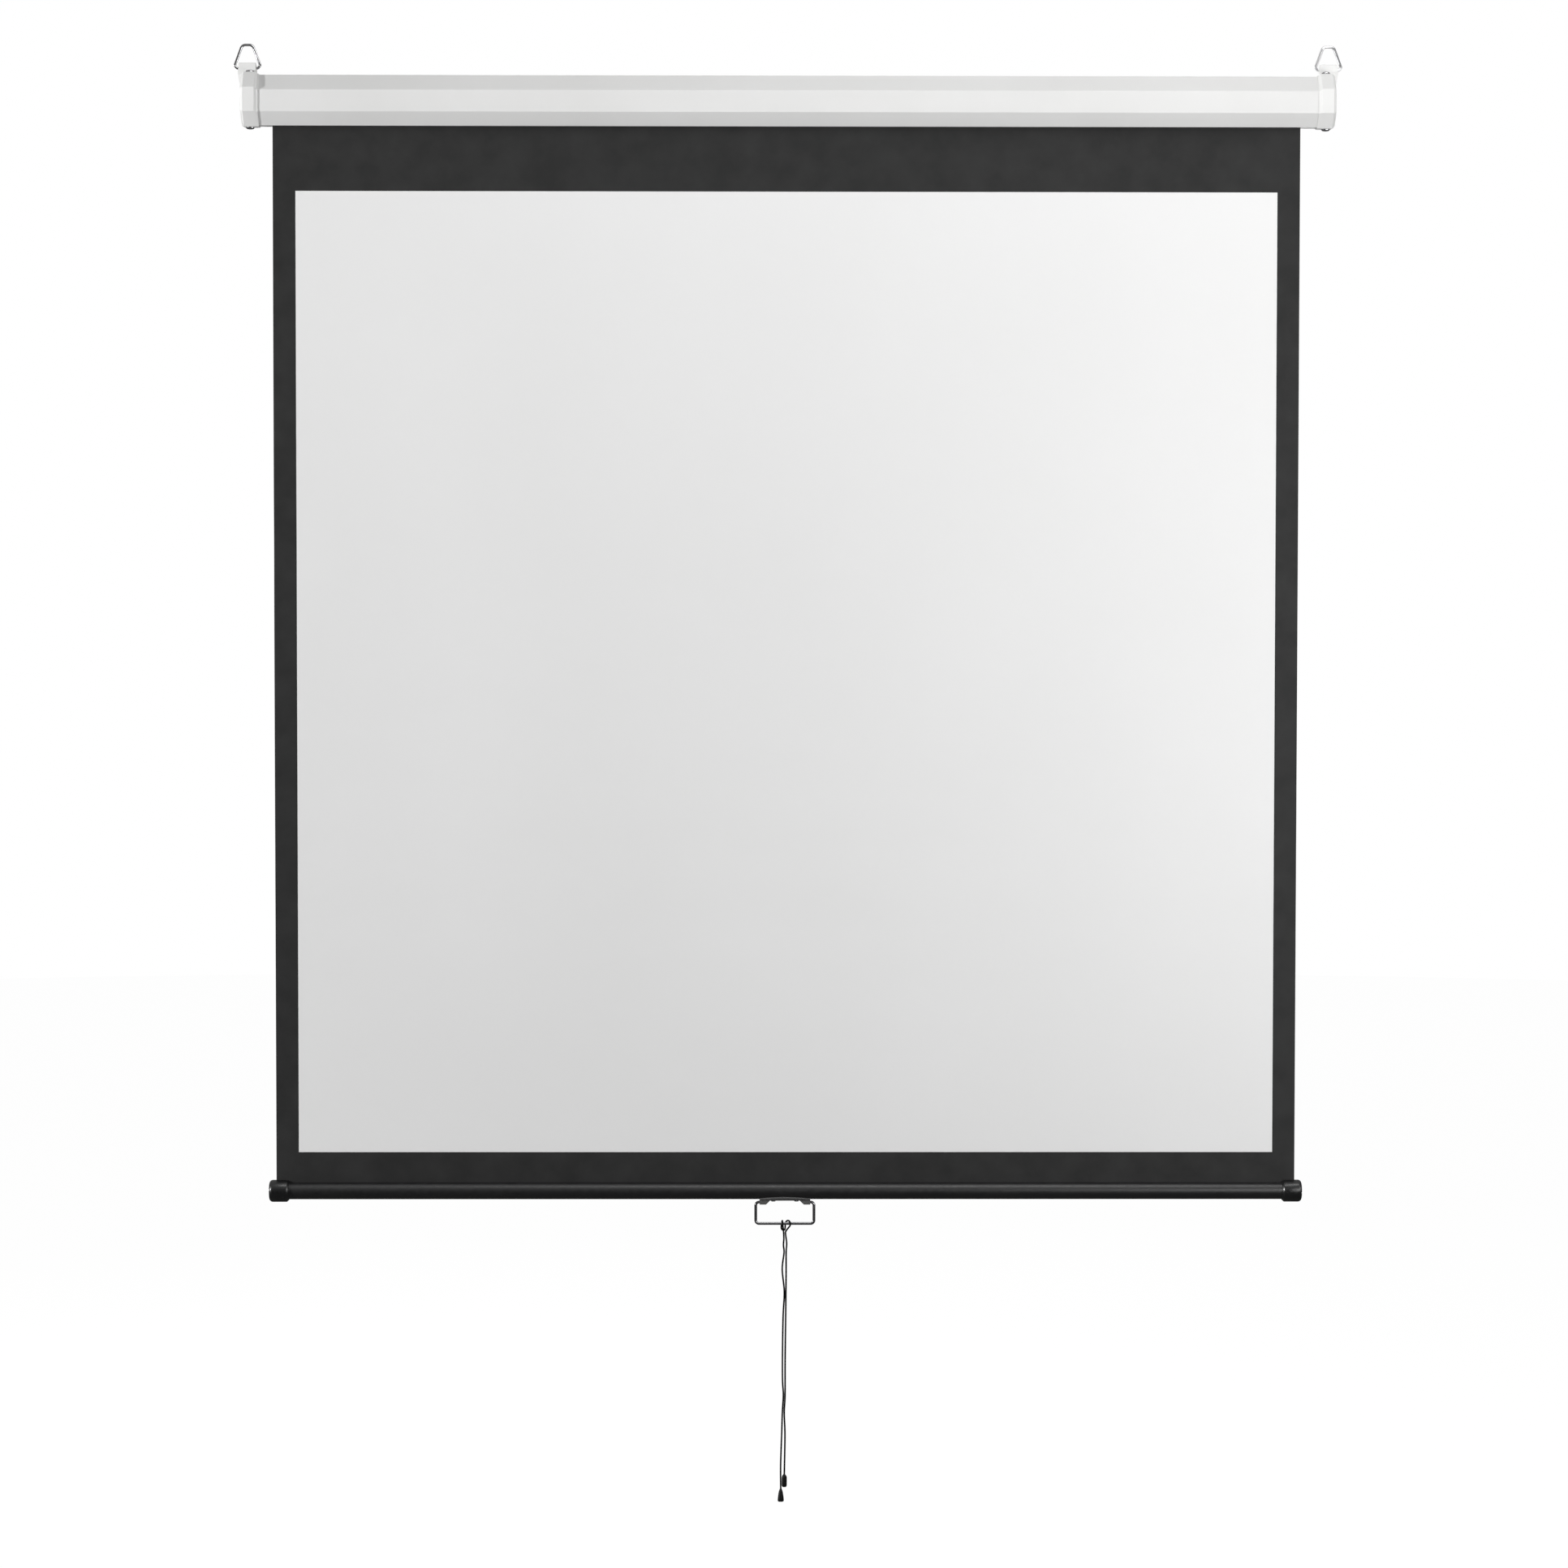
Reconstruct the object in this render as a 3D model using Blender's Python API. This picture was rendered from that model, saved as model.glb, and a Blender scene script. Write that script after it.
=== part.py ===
"""Manual pull-down projector screen, hung by two wire rings.

Metres. X runs to the viewer's right, -Y towards the viewer, +Z up. The origin lies midway between
the two points where the ceiling hooks bear inside the hanging rings.
"""

from math import acos
from math import asin
from math import cos
from math import pi
from math import radians
from math import sin
from math import tan

import bmesh
import bpy
from mathutils import Matrix
from mathutils import Vector

MM = 0.001
GAP = 0.3 * MM
MERGE = 0.00001

# Case: eight-sided section folded from one steel sheet, measured from the section's centre
CASE_HALF_LENGTH = 841 * MM
CASE_SHEET = 0.9 * MM
CASE_HALF_DEPTH = 33 * MM
CASE_HALF_HEIGHT = 39 * MM
CASE_FACE_TOP = 14.2 * MM
CASE_FACE_BOTTOM = -19.1 * MM
CASE_FLAT = 11 * MM
CASE_BEND = 2 * MM
SLOT_FRONT = -8.9 * MM
SLOT_REAR = 2 * MM
LIP_HEIGHT = 8 * MM
LIP_BEND = 1.2 * MM

# End caps: moulded cups over the ends of the case
CAP_RIM_EDGE = 817.8 * MM
CAP_RIM_STEP = 819.2 * MM
CAP_BAND_START = 823.4 * MM
CAP_BAND_END = 841 * MM
CAP_OUTER = 845.2 * MM
CAP_PLATEAU = 846.4 * MM
CAP_FLOOR = 843.4 * MM
CAP_FRONT = 36.2 * MM
CAP_BACK = 35.5 * MM
CAP_TOP = 43.6 * MM
CAP_BOTTOM = -40.7 * MM
CAP_FACE_TOP = 18 * MM
CAP_FACE_BOTTOM = -19.2 * MM
CAP_FLAT = 12.3 * MM
CAP_RIM_WALL = 1.5 * MM
CAP_CHAMFER = 4.2 * MM
CAP_CORNER = 2.4 * MM

# Lug on each cap and the wire ring that hinges in it
LUG_CENTRE = 837 * MM
LUG_HALF_WIDTH = 14.8 * MM
LUG_DRAFT = 1.6 * MM
LUG_TOP = 59.2 * MM
LUG_FRONT = 3.2 * MM
LUG_BACK = 12.3 * MM
LUG_PIVOT = 50.8 * MM
LUG_PIVOT_DEPTH = 7.8 * MM
LUG_EDGE = 1.2 * MM
RING_WIRE = 4.2 * MM
RING_RISE = 35.9 * MM
RING_HALF_BASE = 19.7 * MM
RING_HALF_TOP = 8 * MM
RING_SHOULDER = 4.2 * MM
RING_TAIL = 9 * MM

# Screws that hold the caps, one on top and one below at each end
CAP_SCREW_X = 832 * MM
CAP_SCREW_HEAD = 6.7 * MM
CAP_SCREW_HEIGHT = 3.4 * MM
CAP_SCREW_SHANK = 2 * MM
TOP_SCREW_DEPTH = -5 * MM
BOTTOM_SCREW_DEPTH = -1.5 * MM

# Roller and the sheet wound on it
ROLLER_DEPTH = 10.5 * MM
ROLLER_HEIGHT = 1 * MM
ROLLER_RADIUS = 14 * MM
ROLLER_WALL = 1 * MM
ROLLER_HALF_LENGTH = 806 * MM
WOUND_PITCH = 0.95 * MM
WOUND_TURNS = 2
FABRIC = 0.5 * MM

# Projection sheet
IMAGE_WIDTH = 1520 * MM
IMAGE_HEIGHT = 1493 * MM
SIDE_BORDER = 35 * MM
TOP_DROP = 100 * MM
BOTTOM_BORDER = 47.5 * MM
WAVE_HEIGHT = 1.5 * MM
EDGE_CURL = 2.2 * MM

# Weight bar in the sheet's lower hem, its handle and the cord on it
BAR_RADIUS = 13.2 * MM
BAR_WALL = 1.2 * MM
BAR_HALF_LENGTH = 801.8 * MM
BAR_SLOT = 3 * MM
HEM_ROD = 3 * MM
BAR_CAP_RADIUS = 17.2 * MM
BAR_CAP_INNER = 775.2 * MM
BAR_CAP_OUTER = 806 * MM
BAR_CAP_CORNER = 5.5 * MM
SADDLE_HALF_LENGTH = 39.6 * MM
SADDLE_THICKNESS = 2.2 * MM
SADDLE_FOOT = 10 * MM
SADDLE_FOOT_DROP = 21.3 * MM
SADDLE_FOOT_EDGE = 1.2 * MM
RIVET_SPACING = 36 * MM
BAIL_WIRE = 4.4 * MM
BAIL_HALF_WIDTH = 45.5 * MM
BAIL_DROP = 33.6 * MM
BAIL_CORNER = 5 * MM
BAIL_PIVOT = 17.9 * MM
BAIL_TAIL = 31 * MM
CORD = 2.7 * MM

# The cloth hangs a little left of the case's middle, and the handle a little left of the bar's
CLOTH_SHIFT = -2.4 * MM
HANDLE_SHIFT = -1.6 * MM

# Spring roller mechanism
SPINDLE_RADIUS = 4 * MM
SPINDLE_END = 612 * MM
TANG_THICKNESS = 4 * MM
BRACKET_SHEET = 1.8 * MM
BRACKET_FACE = CASE_HALF_LENGTH + GAP
PLUG_FLANGE = 16.5 * MM
RATCHET_RADIUS = 8.6 * MM
PAWL_PIVOT = 13.6 * MM
PAWL_LENGTH = 9.6 * MM
PAWL_HALF_WIDTH = 1.3 * MM
PAWL_REST = 36
PAWL_ENGAGED = 54
SPRING_WIRE = 1.1 * MM
SPRING_COIL = 8.2 * MM
SPRING_START = 778 * MM
SPRING_END = 640 * MM
SPRING_TURNS = 32
SPRING_POINTS = 8
ANCHOR_LENGTH = 12 * MM

# Where the bodies lie in the part's frame
RING_PIVOT_Z = RING_WIRE / 2 - RING_RISE
CASE_Y = -LUG_PIVOT_DEPTH
CASE_Z = RING_PIVOT_Z - LUG_PIVOT
ROLLER_Y = CASE_Y + ROLLER_DEPTH
ROLLER_Z = CASE_Z + ROLLER_HEIGHT
WOUND_INNER = ROLLER_RADIUS + GAP + FABRIC / 2
TAKE_OFF = WOUND_INNER + WOUND_PITCH * WOUND_TURNS
FABRIC_Y = ROLLER_Y - TAKE_OFF
CASE_BOTTOM_Z = CASE_Z - CASE_HALF_HEIGHT
IMAGE_TOP_Z = CASE_BOTTOM_Z - TOP_DROP
IMAGE_BOTTOM_Z = IMAGE_TOP_Z - IMAGE_HEIGHT
BAR_Z = IMAGE_BOTTOM_Z - BOTTOM_BORDER - BAR_RADIUS
FABRIC_HALF_WIDTH = IMAGE_WIDTH / 2 + SIDE_BORDER
BAIL_PIVOT_Z = BAR_Z - BAIL_PIVOT
BAIL_WIRE_Z = BAIL_PIVOT_Z - BAIL_DROP


def finish(name, colour, roughness, metallic=0.0):
    """Plain material with the piece's own colour and gloss."""
    material = bpy.data.materials.new(name)
    material.use_nodes = True
    shader = material.node_tree.nodes["Principled BSDF"]
    shader.inputs["Base Color"].default_value = (*colour, 1.0)
    shader.inputs["Roughness"].default_value = roughness
    shader.inputs["Metallic"].default_value = metallic
    return material


def body_at(name, location):
    """Empty that carries the pieces of one body, on its joint's axis if it moves."""
    empty = bpy.data.objects.new(name, None)
    empty.location = location
    bpy.context.scene.collection.objects.link(empty)
    return empty


def place(name, data, material, body):
    """Object for finished geometry, with its material, carried by a body."""
    data.materials.append(material)
    obj = bpy.data.objects.new(name, data)
    obj.parent = body
    bpy.context.scene.collection.objects.link(obj)
    return obj


def piece(name, shape, material, body, sharp_angle=35):
    """Closed body from a bmesh, faces outwards, smooth except at real edges."""
    bmesh.ops.recalc_face_normals(shape, faces=shape.faces)
    mesh = bpy.data.meshes.new(name)
    shape.to_mesh(mesh)
    shape.free()
    mesh.shade_smooth()
    mesh.set_sharp_from_angle(angle=radians(sharp_angle))
    return place(name, mesh, material, body)


def boolean(obj, tool, operation="DIFFERENCE"):
    """Cut a hidden tool out of a piece, or join the tool's shape to it."""
    tool.hide_render = True
    tool.display_type = "WIRE"
    modifier = obj.modifiers.new(tool.name, "BOOLEAN")
    modifier.operation = operation
    modifier.solver = "EXACT"
    modifier.object = tool


def rounded(corners, radius, steps=2, closed=True):
    """Points of an outline whose corners are replaced by arcs."""
    points = []
    count = len(corners)
    for index, corner in enumerate(corners):
        here = Vector(corner)
        if not closed and index in (0, count - 1):
            points.append(here)
            continue
        size = radius[index] if isinstance(radius, (list, tuple)) else radius
        back = (Vector(corners[index - 1]) - here).normalized()
        ahead = (Vector(corners[(index + 1) % count]) - here).normalized()
        half = back.angle(ahead) / 2
        centre = here + (back + ahead).normalized() * size / sin(half)
        start = here + back * size / tan(half) - centre
        end = here + ahead * size / tan(half) - centre
        sweep = pi - 2 * half
        for step in range(steps + 1):
            turn = sweep * step / steps
            points.append(centre + (start * sin(sweep - turn) + end * sin(turn)) / sin(sweep))
    return points


def grown(corners, distance):
    """Closed outline moved outwards by a distance, with its corners kept sharp."""
    points = [Vector(corner) for corner in corners]
    following = points[1:] + points[:1]
    turning = sum(a.x * b.y - b.x * a.y for a, b in zip(points, following))
    side = distance if turning > 0 else -distance
    moved = []
    for index, here in enumerate(points):
        before = (here - points[index - 1]).normalized()
        after = (following[index] - here).normalized()
        out_before = Vector((before.y, -before.x))
        out_after = Vector((after.y, -after.x))
        moved.append(here + (out_before + out_after) * side / (1 + out_before.dot(out_after)))
    return moved


def octagon(front, back, top, bottom, face_top, face_bottom, top_flat, bottom_flat):
    """Eight-sided section as (y, z) corners, from the front bottom corner over the top."""
    return [(-bottom_flat, bottom), (-front, face_bottom), (-front, face_top), (-top_flat, top),
            (top_flat, top), (back, face_top), (back, face_bottom), (bottom_flat, bottom)]


def lofted(rings):
    """Closed body through rings of equally many points, flat at both ends."""
    shape = bmesh.new()
    loops = [[shape.verts.new(point) for point in ring] for ring in rings]
    for near, far in zip(loops, loops[1:]):
        for index in range(len(near)):
            after = (index + 1) % len(near)
            shape.faces.new((near[index], near[after], far[after], far[index]))
    shape.faces.new(loops[0])
    shape.faces.new(loops[-1])
    return shape


def ring_at(x, outline):
    """Ring of a loft: a (y, z) outline at one place along X."""
    return [(x, y, z) for y, z in outline]


def extruded(outline, start, end):
    """Prism along X from a (y, z) outline."""
    return lofted([ring_at(start, outline), ring_at(end, outline)])


def turned(profile, sides, upright=False, centre=(0, 0, 0)):
    """Body of revolution about X, or about Z if upright, from (distance, radius) pairs."""
    shape = bmesh.new()
    points = [shape.verts.new((along, radius, 0)) for along, radius in profile]
    edges = [shape.edges.new(pair) for pair in zip(points, points[1:])]
    bmesh.ops.spin(shape, geom=points + edges, cent=(0, 0, 0), axis=(1, 0, 0),
                   angle=2 * pi, steps=sides, use_merge=True)
    bmesh.ops.remove_doubles(shape, verts=shape.verts, dist=MERGE)
    turn = Matrix.Rotation(-pi / 2, 4, "Y") if upright else Matrix.Identity(4)
    bmesh.ops.transform(shape, matrix=Matrix.Translation(centre) @ turn, verts=shape.verts)
    return shape


def sleeve(start, end, inner, outer):
    """Profile of a plain ring with a bore, for turned()."""
    return [(start, inner), (start, outer), (end, outer), (end, inner), (start, inner)]


def rod(start, end, radius, bevel=0.0):
    """Profile of a solid rod with chamfered ends, for turned()."""
    if not bevel:
        return [(start, 0), (start, radius), (end, radius), (end, 0)]
    return [(start, 0), (start, radius - bevel), (start + bevel, radius),
            (end - bevel, radius), (end, radius - bevel), (end, 0)]


def block(low, high, bevel=0.0):
    """Rectangular body between two corners, with optional chamfered edges."""
    shape = bmesh.new()
    size = [b - a for a, b in zip(low, high)]
    middle = [(a + b) / 2 for a, b in zip(low, high)]
    bmesh.ops.create_cube(shape, size=1, matrix=Matrix.Translation(middle) @ Matrix.Diagonal((*size, 1)))
    if bevel:
        bmesh.ops.bevel(shape, geom=shape.edges[:], offset=bevel, segments=1, affect="EDGES")
    return shape


def beside(path, distance):
    """Open path moved to its right-hand side by a distance, with its corners kept."""
    points = [Vector(point) for point in path]
    moved = []
    for index, here in enumerate(points):
        before = here - points[index - 1] if index else points[1] - here
        after = points[index + 1] - here if index < len(points) - 1 else before
        before.normalize()
        after.normalize()
        right_before = Vector((before.y, -before.x))
        right_after = Vector((after.y, -after.x))
        moved.append(here + (right_before + right_after) * distance / (1 + right_before.dot(right_after)))
    return moved


def folded(path, thickness, outside=0.0):
    """Closed outline of a folded sheet whose path has part of the thickness on its outer, left side."""
    return beside(path, -outside) + beside(path, thickness - outside)[::-1]


def wire(name, points, diameter, material, body, resolution=2):
    """Round wire or cord along a path of points."""
    curve = bpy.data.curves.new(name, "CURVE")
    curve.dimensions = "3D"
    curve.bevel_depth = diameter / 2
    curve.bevel_resolution = resolution
    curve.use_fill_caps = True
    spline = curve.splines.new("POLY")
    spline.points.add(len(points) - 1)
    for target, point in zip(spline.points, points):
        target.co = (*point, 1)
    return place(name, curve, material, body)


def case_section():
    """Sharp corners of the case's closed outline."""
    return octagon(CASE_HALF_DEPTH, CASE_HALF_DEPTH, CASE_HALF_HEIGHT, -CASE_HALF_HEIGHT,
                   CASE_FACE_TOP, CASE_FACE_BOTTOM, CASE_FLAT, CASE_FLAT)


def make_case(body, paint):
    """Case shell: one folded sheet, open along the bottom between two upturned lips."""
    lip_top = LIP_HEIGHT - CASE_HALF_HEIGHT
    front_lip = [(SLOT_FRONT, lip_top), (SLOT_FRONT, -CASE_HALF_HEIGHT)]
    rear_lip = [(SLOT_REAR, -CASE_HALF_HEIGHT), (SLOT_REAR, lip_top)]
    corners = front_lip + case_section() + rear_lip
    radii = [LIP_BEND] * 2 + [CASE_BEND] * 8 + [LIP_BEND] * 2
    outline = folded(rounded(corners, radii, closed=False), CASE_SHEET)
    shell = piece("case_shell", extruded(outline, -CASE_HALF_LENGTH, CASE_HALF_LENGTH), paint, body)
    for side in (-1, 1):
        drill = rod(30 * MM, 50 * MM, CAP_SCREW_SHANK + 0.4 * MM)
        hole = turned(drill, 12, True, (side * CAP_SCREW_X, TOP_SCREW_DEPTH, 0))
        boolean(shell, piece("case_screw_hole", hole, paint, body))


def cap_lug(side):
    """Upright lug with a gusset down the cap's outer face."""
    inner = LUG_CENTRE - LUG_HALF_WIDTH
    outer = LUG_CENTRE + LUG_HALF_WIDTH
    seat = CAP_TOP - 2 * MM
    gusset_foot = CAP_FACE_TOP - 1 * MM
    gusset_root = CAP_FLOOR + 0.6 * MM
    outline = [(inner, seat), (inner + LUG_DRAFT, LUG_TOP), (outer - LUG_DRAFT, LUG_TOP),
               (outer, CAP_TOP), (CAP_OUTER + 1.5 * MM, gusset_foot), (gusset_root, gusset_foot),
               (gusset_root, seat)]
    shape = lofted([[(side * x, depth, z) for x, z in outline] for depth in (LUG_FRONT, LUG_BACK)])
    upper = []
    for edge in shape.edges:
        start, end = (vert.co for vert in edge.verts)
        if max(start.z, end.z) > LUG_TOP - MERGE and abs(start.y - end.y) < MERGE:
            upper.append(edge)
    bmesh.ops.bevel(shape, geom=upper, offset=LUG_EDGE, segments=2, affect="EDGES")
    return shape


def make_end_cap(name, side, body, plastic):
    """End cap: a cup with a stepped rim, a chamfered outer edge and a raised outer face."""
    section = case_section()
    band = octagon(CAP_FRONT, CAP_BACK, CAP_TOP, CAP_BOTTOM, CAP_FACE_TOP, CAP_FACE_BOTTOM,
                   CAP_FLAT, CAP_FLAT - 0.4 * MM)
    rim = grown(section, CAP_RIM_WALL)
    cavity = grown(section, GAP)
    stations = [(CAP_PLATEAU, grown(band, -17 * MM)),
                (CAP_OUTER + 0.4 * MM, grown(band, -12 * MM)),
                (CAP_OUTER, grown(band, -CAP_CHAMFER)),
                (CAP_BAND_END, band),
                (CAP_BAND_START, band),
                (CAP_RIM_STEP, rim),
                (CAP_RIM_EDGE, rim),
                (CAP_RIM_EDGE, cavity),
                (CAP_FLOOR, cavity)]
    rings = [ring_at(side * x, rounded(outline, CAP_CORNER)) for x, outline in stations]
    cap = piece(name, lofted(rings), plastic, body)

    boolean(cap, piece(name + "_lug", cap_lug(side), plastic, body), "UNION")
    drill = CAP_SCREW_SHANK + 0.4 * MM
    for label, start, end, depth in (("top", 30 * MM, 50 * MM, TOP_SCREW_DEPTH),
                                     ("bottom", -50 * MM, -30 * MM, BOTTOM_SCREW_DEPTH)):
        hole = turned(rod(start, end, drill), 12, True, (side * CAP_SCREW_X, depth, 0))
        boolean(cap, piece(f"{name}_{label}_hole", hole, plastic, body))
    socket_floor = RING_TAIL - GAP
    for label, start, end in (("inner", -25 * MM, -socket_floor), ("outer", socket_floor, 25 * MM)):
        socket = turned(rod(start, end, RING_WIRE / 2 + GAP), 12, False,
                        (side * LUG_CENTRE, LUG_PIVOT_DEPTH, LUG_PIVOT))
        boolean(cap, piece(f"{name}_{label}_socket", socket, plastic, body))


def make_cap_screw(name, side, up, depth, body, chrome):
    """Pan head screw through the cap into the bracket's flange, from above or from below."""
    length = 9 * MM
    seat = CAP_TOP if up > 0 else CAP_BOTTOM
    head = seat + up * 0.2 * MM
    profile = [(head - up * length, 0), (head - up * length, CAP_SCREW_SHANK), (head, CAP_SCREW_SHANK)]
    dome_steps = 3
    for step in range(dome_steps):
        turn = step / dome_steps * pi / 2
        profile.append((head + up * CAP_SCREW_HEIGHT * sin(turn), CAP_SCREW_HEAD * cos(turn) ** 0.6))
    profile.append((head + up * CAP_SCREW_HEIGHT, 0))
    piece(name, turned(profile, 16, True, (side * CAP_SCREW_X, depth, 0)), chrome, body)


def make_bracket(name, side, body, steel):
    """Pressed end bracket: a plate across the case's end with two flanges for the cap screws."""
    plate = rounded(grown(case_section(), -0.6 * MM), CASE_BEND)
    outer = BRACKET_FACE + BRACKET_SHEET
    bracket = piece(name, extruded(plate, side * BRACKET_FACE, side * outer), steel, body)
    reach = 20 * MM
    top = CASE_HALF_HEIGHT - CASE_SHEET - GAP
    bottom = CAP_BOTTOM + 1.9 * MM
    flanges = (("top", TOP_SCREW_DEPTH, 5 * MM, top - BRACKET_SHEET, top),
               ("bottom", BOTTOM_SCREW_DEPTH, 2.6 * MM, bottom, bottom + BRACKET_SHEET))
    for label, depth, half_width, low, high in flanges:
        ends = sorted((side * (outer - reach), side * (outer - 0.5 * MM)))
        flange = block((ends[0], depth - half_width, low), (ends[1], depth + half_width, high))
        boolean(bracket, piece(f"{name}_{label}_flange", flange, steel, body), "UNION")
        drill = turned(rod(low - 4 * MM, high + 4 * MM, CAP_SCREW_SHANK + GAP), 12, True,
                       (side * CAP_SCREW_X, depth, 0))
        boolean(bracket, piece(f"{name}_{label}_tapping", drill, steel, body))
    start, end = sorted((side * (BRACKET_FACE - 3 * MM), side * (outer + 3 * MM)))
    if side < 0:
        half_height = SPINDLE_RADIUS + GAP
        half_width = TANG_THICKNESS / 2 + GAP
        window = block((start, ROLLER_DEPTH - half_width, ROLLER_HEIGHT - half_height),
                       (end, ROLLER_DEPTH + half_width, ROLLER_HEIGHT + half_height))
    else:
        window = turned(rod(start, end, 7.3 * MM), 16, False, (0, ROLLER_DEPTH, ROLLER_HEIGHT))
    boolean(bracket, piece(name + "_window", window, steel, body))


def make_spindle(body, steel):
    """Fixed spindle of the spring side, with a flat tang held in the left bracket."""
    start = -(BRACKET_FACE + BRACKET_SHEET)
    spindle = piece("spring_spindle", turned(rod(start, -SPINDLE_END, SPINDLE_RADIUS), 16), steel, body)
    shoulder = -BRACKET_FACE + 2 * MM
    for label, face in (("front", -1), ("rear", 1)):
        low, high = sorted((face * TANG_THICKNESS / 2, face * 8 * MM))
        flat = block((start - 2 * MM, low, -8 * MM), (shoulder, high, 8 * MM))
        boolean(spindle, piece(f"spindle_{label}_flat", flat, steel, body))


def pawl_point(angle, along, across=0.0):
    """Point of the upper pawl in the roller's (y, z) plane, along its arm and square to it."""
    turn = radians(-angle)
    return (along * cos(turn) - across * sin(turn), PAWL_PIVOT + along * sin(turn) + across * cos(turn))


def make_ratchet(body, zinc):
    """Notched disc on the spindle; each notch follows the swing of a pawl's nose."""
    start = -817.5 * MM
    end = -812.5 * MM
    blank = sleeve(start, end, SPINDLE_RADIUS + GAP, RATCHET_RADIUS)
    disc = piece("notched_ratchet", turned(blank, 32), zinc, body)
    sweep = PAWL_LENGTH + 0.45 * MM
    side = PAWL_HALF_WIDTH + 0.4 * MM
    corner = sweep * cos(asin(side / sweep))
    notch = [pawl_point(PAWL_ENGAGED, 3 * MM, -side), pawl_point(PAWL_ENGAGED, corner, -side)]
    steps = 6
    for step in range(steps + 1):
        notch.append(pawl_point(PAWL_ENGAGED - step * 5, sweep))
    notch.append(pawl_point(PAWL_REST, 3 * MM))
    for turn in (1, -1):
        outline = [(turn * y, turn * z) for y, z in notch]
        cutter = extruded(outline, start - 2 * MM, end + 2 * MM)
        boolean(disc, piece(f"ratchet_notch_{'upper' if turn > 0 else 'lower'}", cutter, zinc, body))


def make_pawl(name, turn, body, steel):
    """Flat pawl on its pin, thrown clear of the ratchet; its body's origin is the pin's axis."""
    outline = []
    hub = PAWL_HALF_WIDTH * 2
    steps = 8
    for step in range(steps + 1):
        swing = radians(30 + 300 * step / steps)
        outline.append((hub * cos(swing), hub * sin(swing)))
    nose = PAWL_LENGTH - PAWL_HALF_WIDTH
    outline += [(nose, -PAWL_HALF_WIDTH), (PAWL_LENGTH, -PAWL_HALF_WIDTH * 0.5),
                (PAWL_LENGTH, PAWL_HALF_WIDTH * 0.5), (nose, PAWL_HALF_WIDTH)]
    rest = radians(-PAWL_REST)
    placed = [(turn * (y * cos(rest) - z * sin(rest)), turn * (y * sin(rest) + z * cos(rest)))
              for y, z in outline]
    pawl = piece(name, extruded(placed, -817 * MM, -813 * MM), steel, body)
    bore = turned(rod(-820 * MM, -810 * MM, 1.5 * MM), 12)
    boolean(pawl, piece(name + "_bore", bore, steel, body))


def make_roller(body, materials):
    """Steel tube with its end plugs, the pawls' pins and the idle pin."""
    steel, zinc, plastic = materials
    inner = ROLLER_RADIUS - ROLLER_WALL
    tube = sleeve(-ROLLER_HALF_LENGTH, ROLLER_HALF_LENGTH, inner, ROLLER_RADIUS)
    piece("roller_tube", turned(tube, 28), steel, body)

    tube_end = ROLLER_HALF_LENGTH + GAP
    flange_end = ROLLER_HALF_LENGTH + 3.5 * MM
    plug = inner - GAP
    bore = SPINDLE_RADIUS + GAP
    spring_plug = piece("spring_end_plug", turned([(-flange_end, bore), (-flange_end, PLUG_FLANGE),
                                                   (-tube_end, PLUG_FLANGE), (-tube_end, plug),
                                                   (-789 * MM, plug), (-788 * MM, plug - 1 * MM),
                                                   (-788 * MM, bore), (-flange_end, bore)], 28), zinc, body)
    for label, turn in (("upper", 1), ("lower", -1)):
        axis = (0, 0, turn * PAWL_PIVOT)
        pin = rod(-819 * MM, -tube_end - GAP, 1.2 * MM, 0.3 * MM)
        piece(f"pawl_pin_{label}", turned(pin, 10, False, axis), steel, body)
        hole = turned(rod(-830 * MM, -ROLLER_HALF_LENGTH, 1.5 * MM), 10, False, axis)
        boolean(spring_plug, piece(f"plug_hole_{label}", hole, zinc, body))

    piece("idle_end_plug", turned([(780 * MM, 4.3 * MM), (780 * MM, plug - 1 * MM), (781 * MM, plug),
                                   (tube_end, plug), (tube_end, PLUG_FLANGE), (flange_end, PLUG_FLANGE),
                                   (flange_end, 4.3 * MM), (780 * MM, 4.3 * MM)], 28), plastic, body)
    piece("idle_pin", turned(rod(775 * MM, BRACKET_FACE + BRACKET_SHEET, 4 * MM, 0.6 * MM), 16), steel, body)
    anchor = sleeve(-SPRING_END, ANCHOR_LENGTH - SPRING_END, bore, plug)
    piece("spring_anchor_plug", turned(anchor, 24), zinc, body)


def least_gap(points, diameter):
    """Least clear distance between turns of one wire, measured on the points of its centreline."""
    reach = 4 * diameter
    nearest = 1.0
    for index, here in enumerate(points):
        run = 0.0
        for step in range(index + 1, len(points)):
            run += (points[step] - points[step - 1]).length
            if run > reach:
                nearest = min(nearest, (points[step] - here).length)
    return nearest - diameter


def make_spring(body, steel, zinc):
    """Torsion spring round the spindle, from a collar fixed to the spindle to the roller's anchor plug."""
    collar = sleeve(-SPRING_START - 8.5 * MM, -SPRING_START, SPINDLE_RADIUS + GAP, 11 * MM)
    piece("spring_collar", turned(collar, 20), zinc, body)
    start = -SPRING_START + GAP
    end = -SPRING_END - GAP
    tail = 3 * MM
    count = SPRING_TURNS * SPRING_POINTS
    points = [Vector((start, SPRING_COIL, 0))]
    for step in range(count + 1):
        turn = 2 * pi * step / SPRING_POINTS
        along = start + tail + (end - start - 2 * tail) * step / count
        points.append(Vector((along, SPRING_COIL * cos(turn), SPRING_COIL * sin(turn))))
    points.append(Vector((end, SPRING_COIL, 0)))
    wire("torsion_spring", points, SPRING_WIRE * 2, steel, body, resolution=1)
    print(f"torsion_spring: least gap between turns {least_gap(points, SPRING_WIRE * 2) / MM:.2f} mm")


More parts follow.
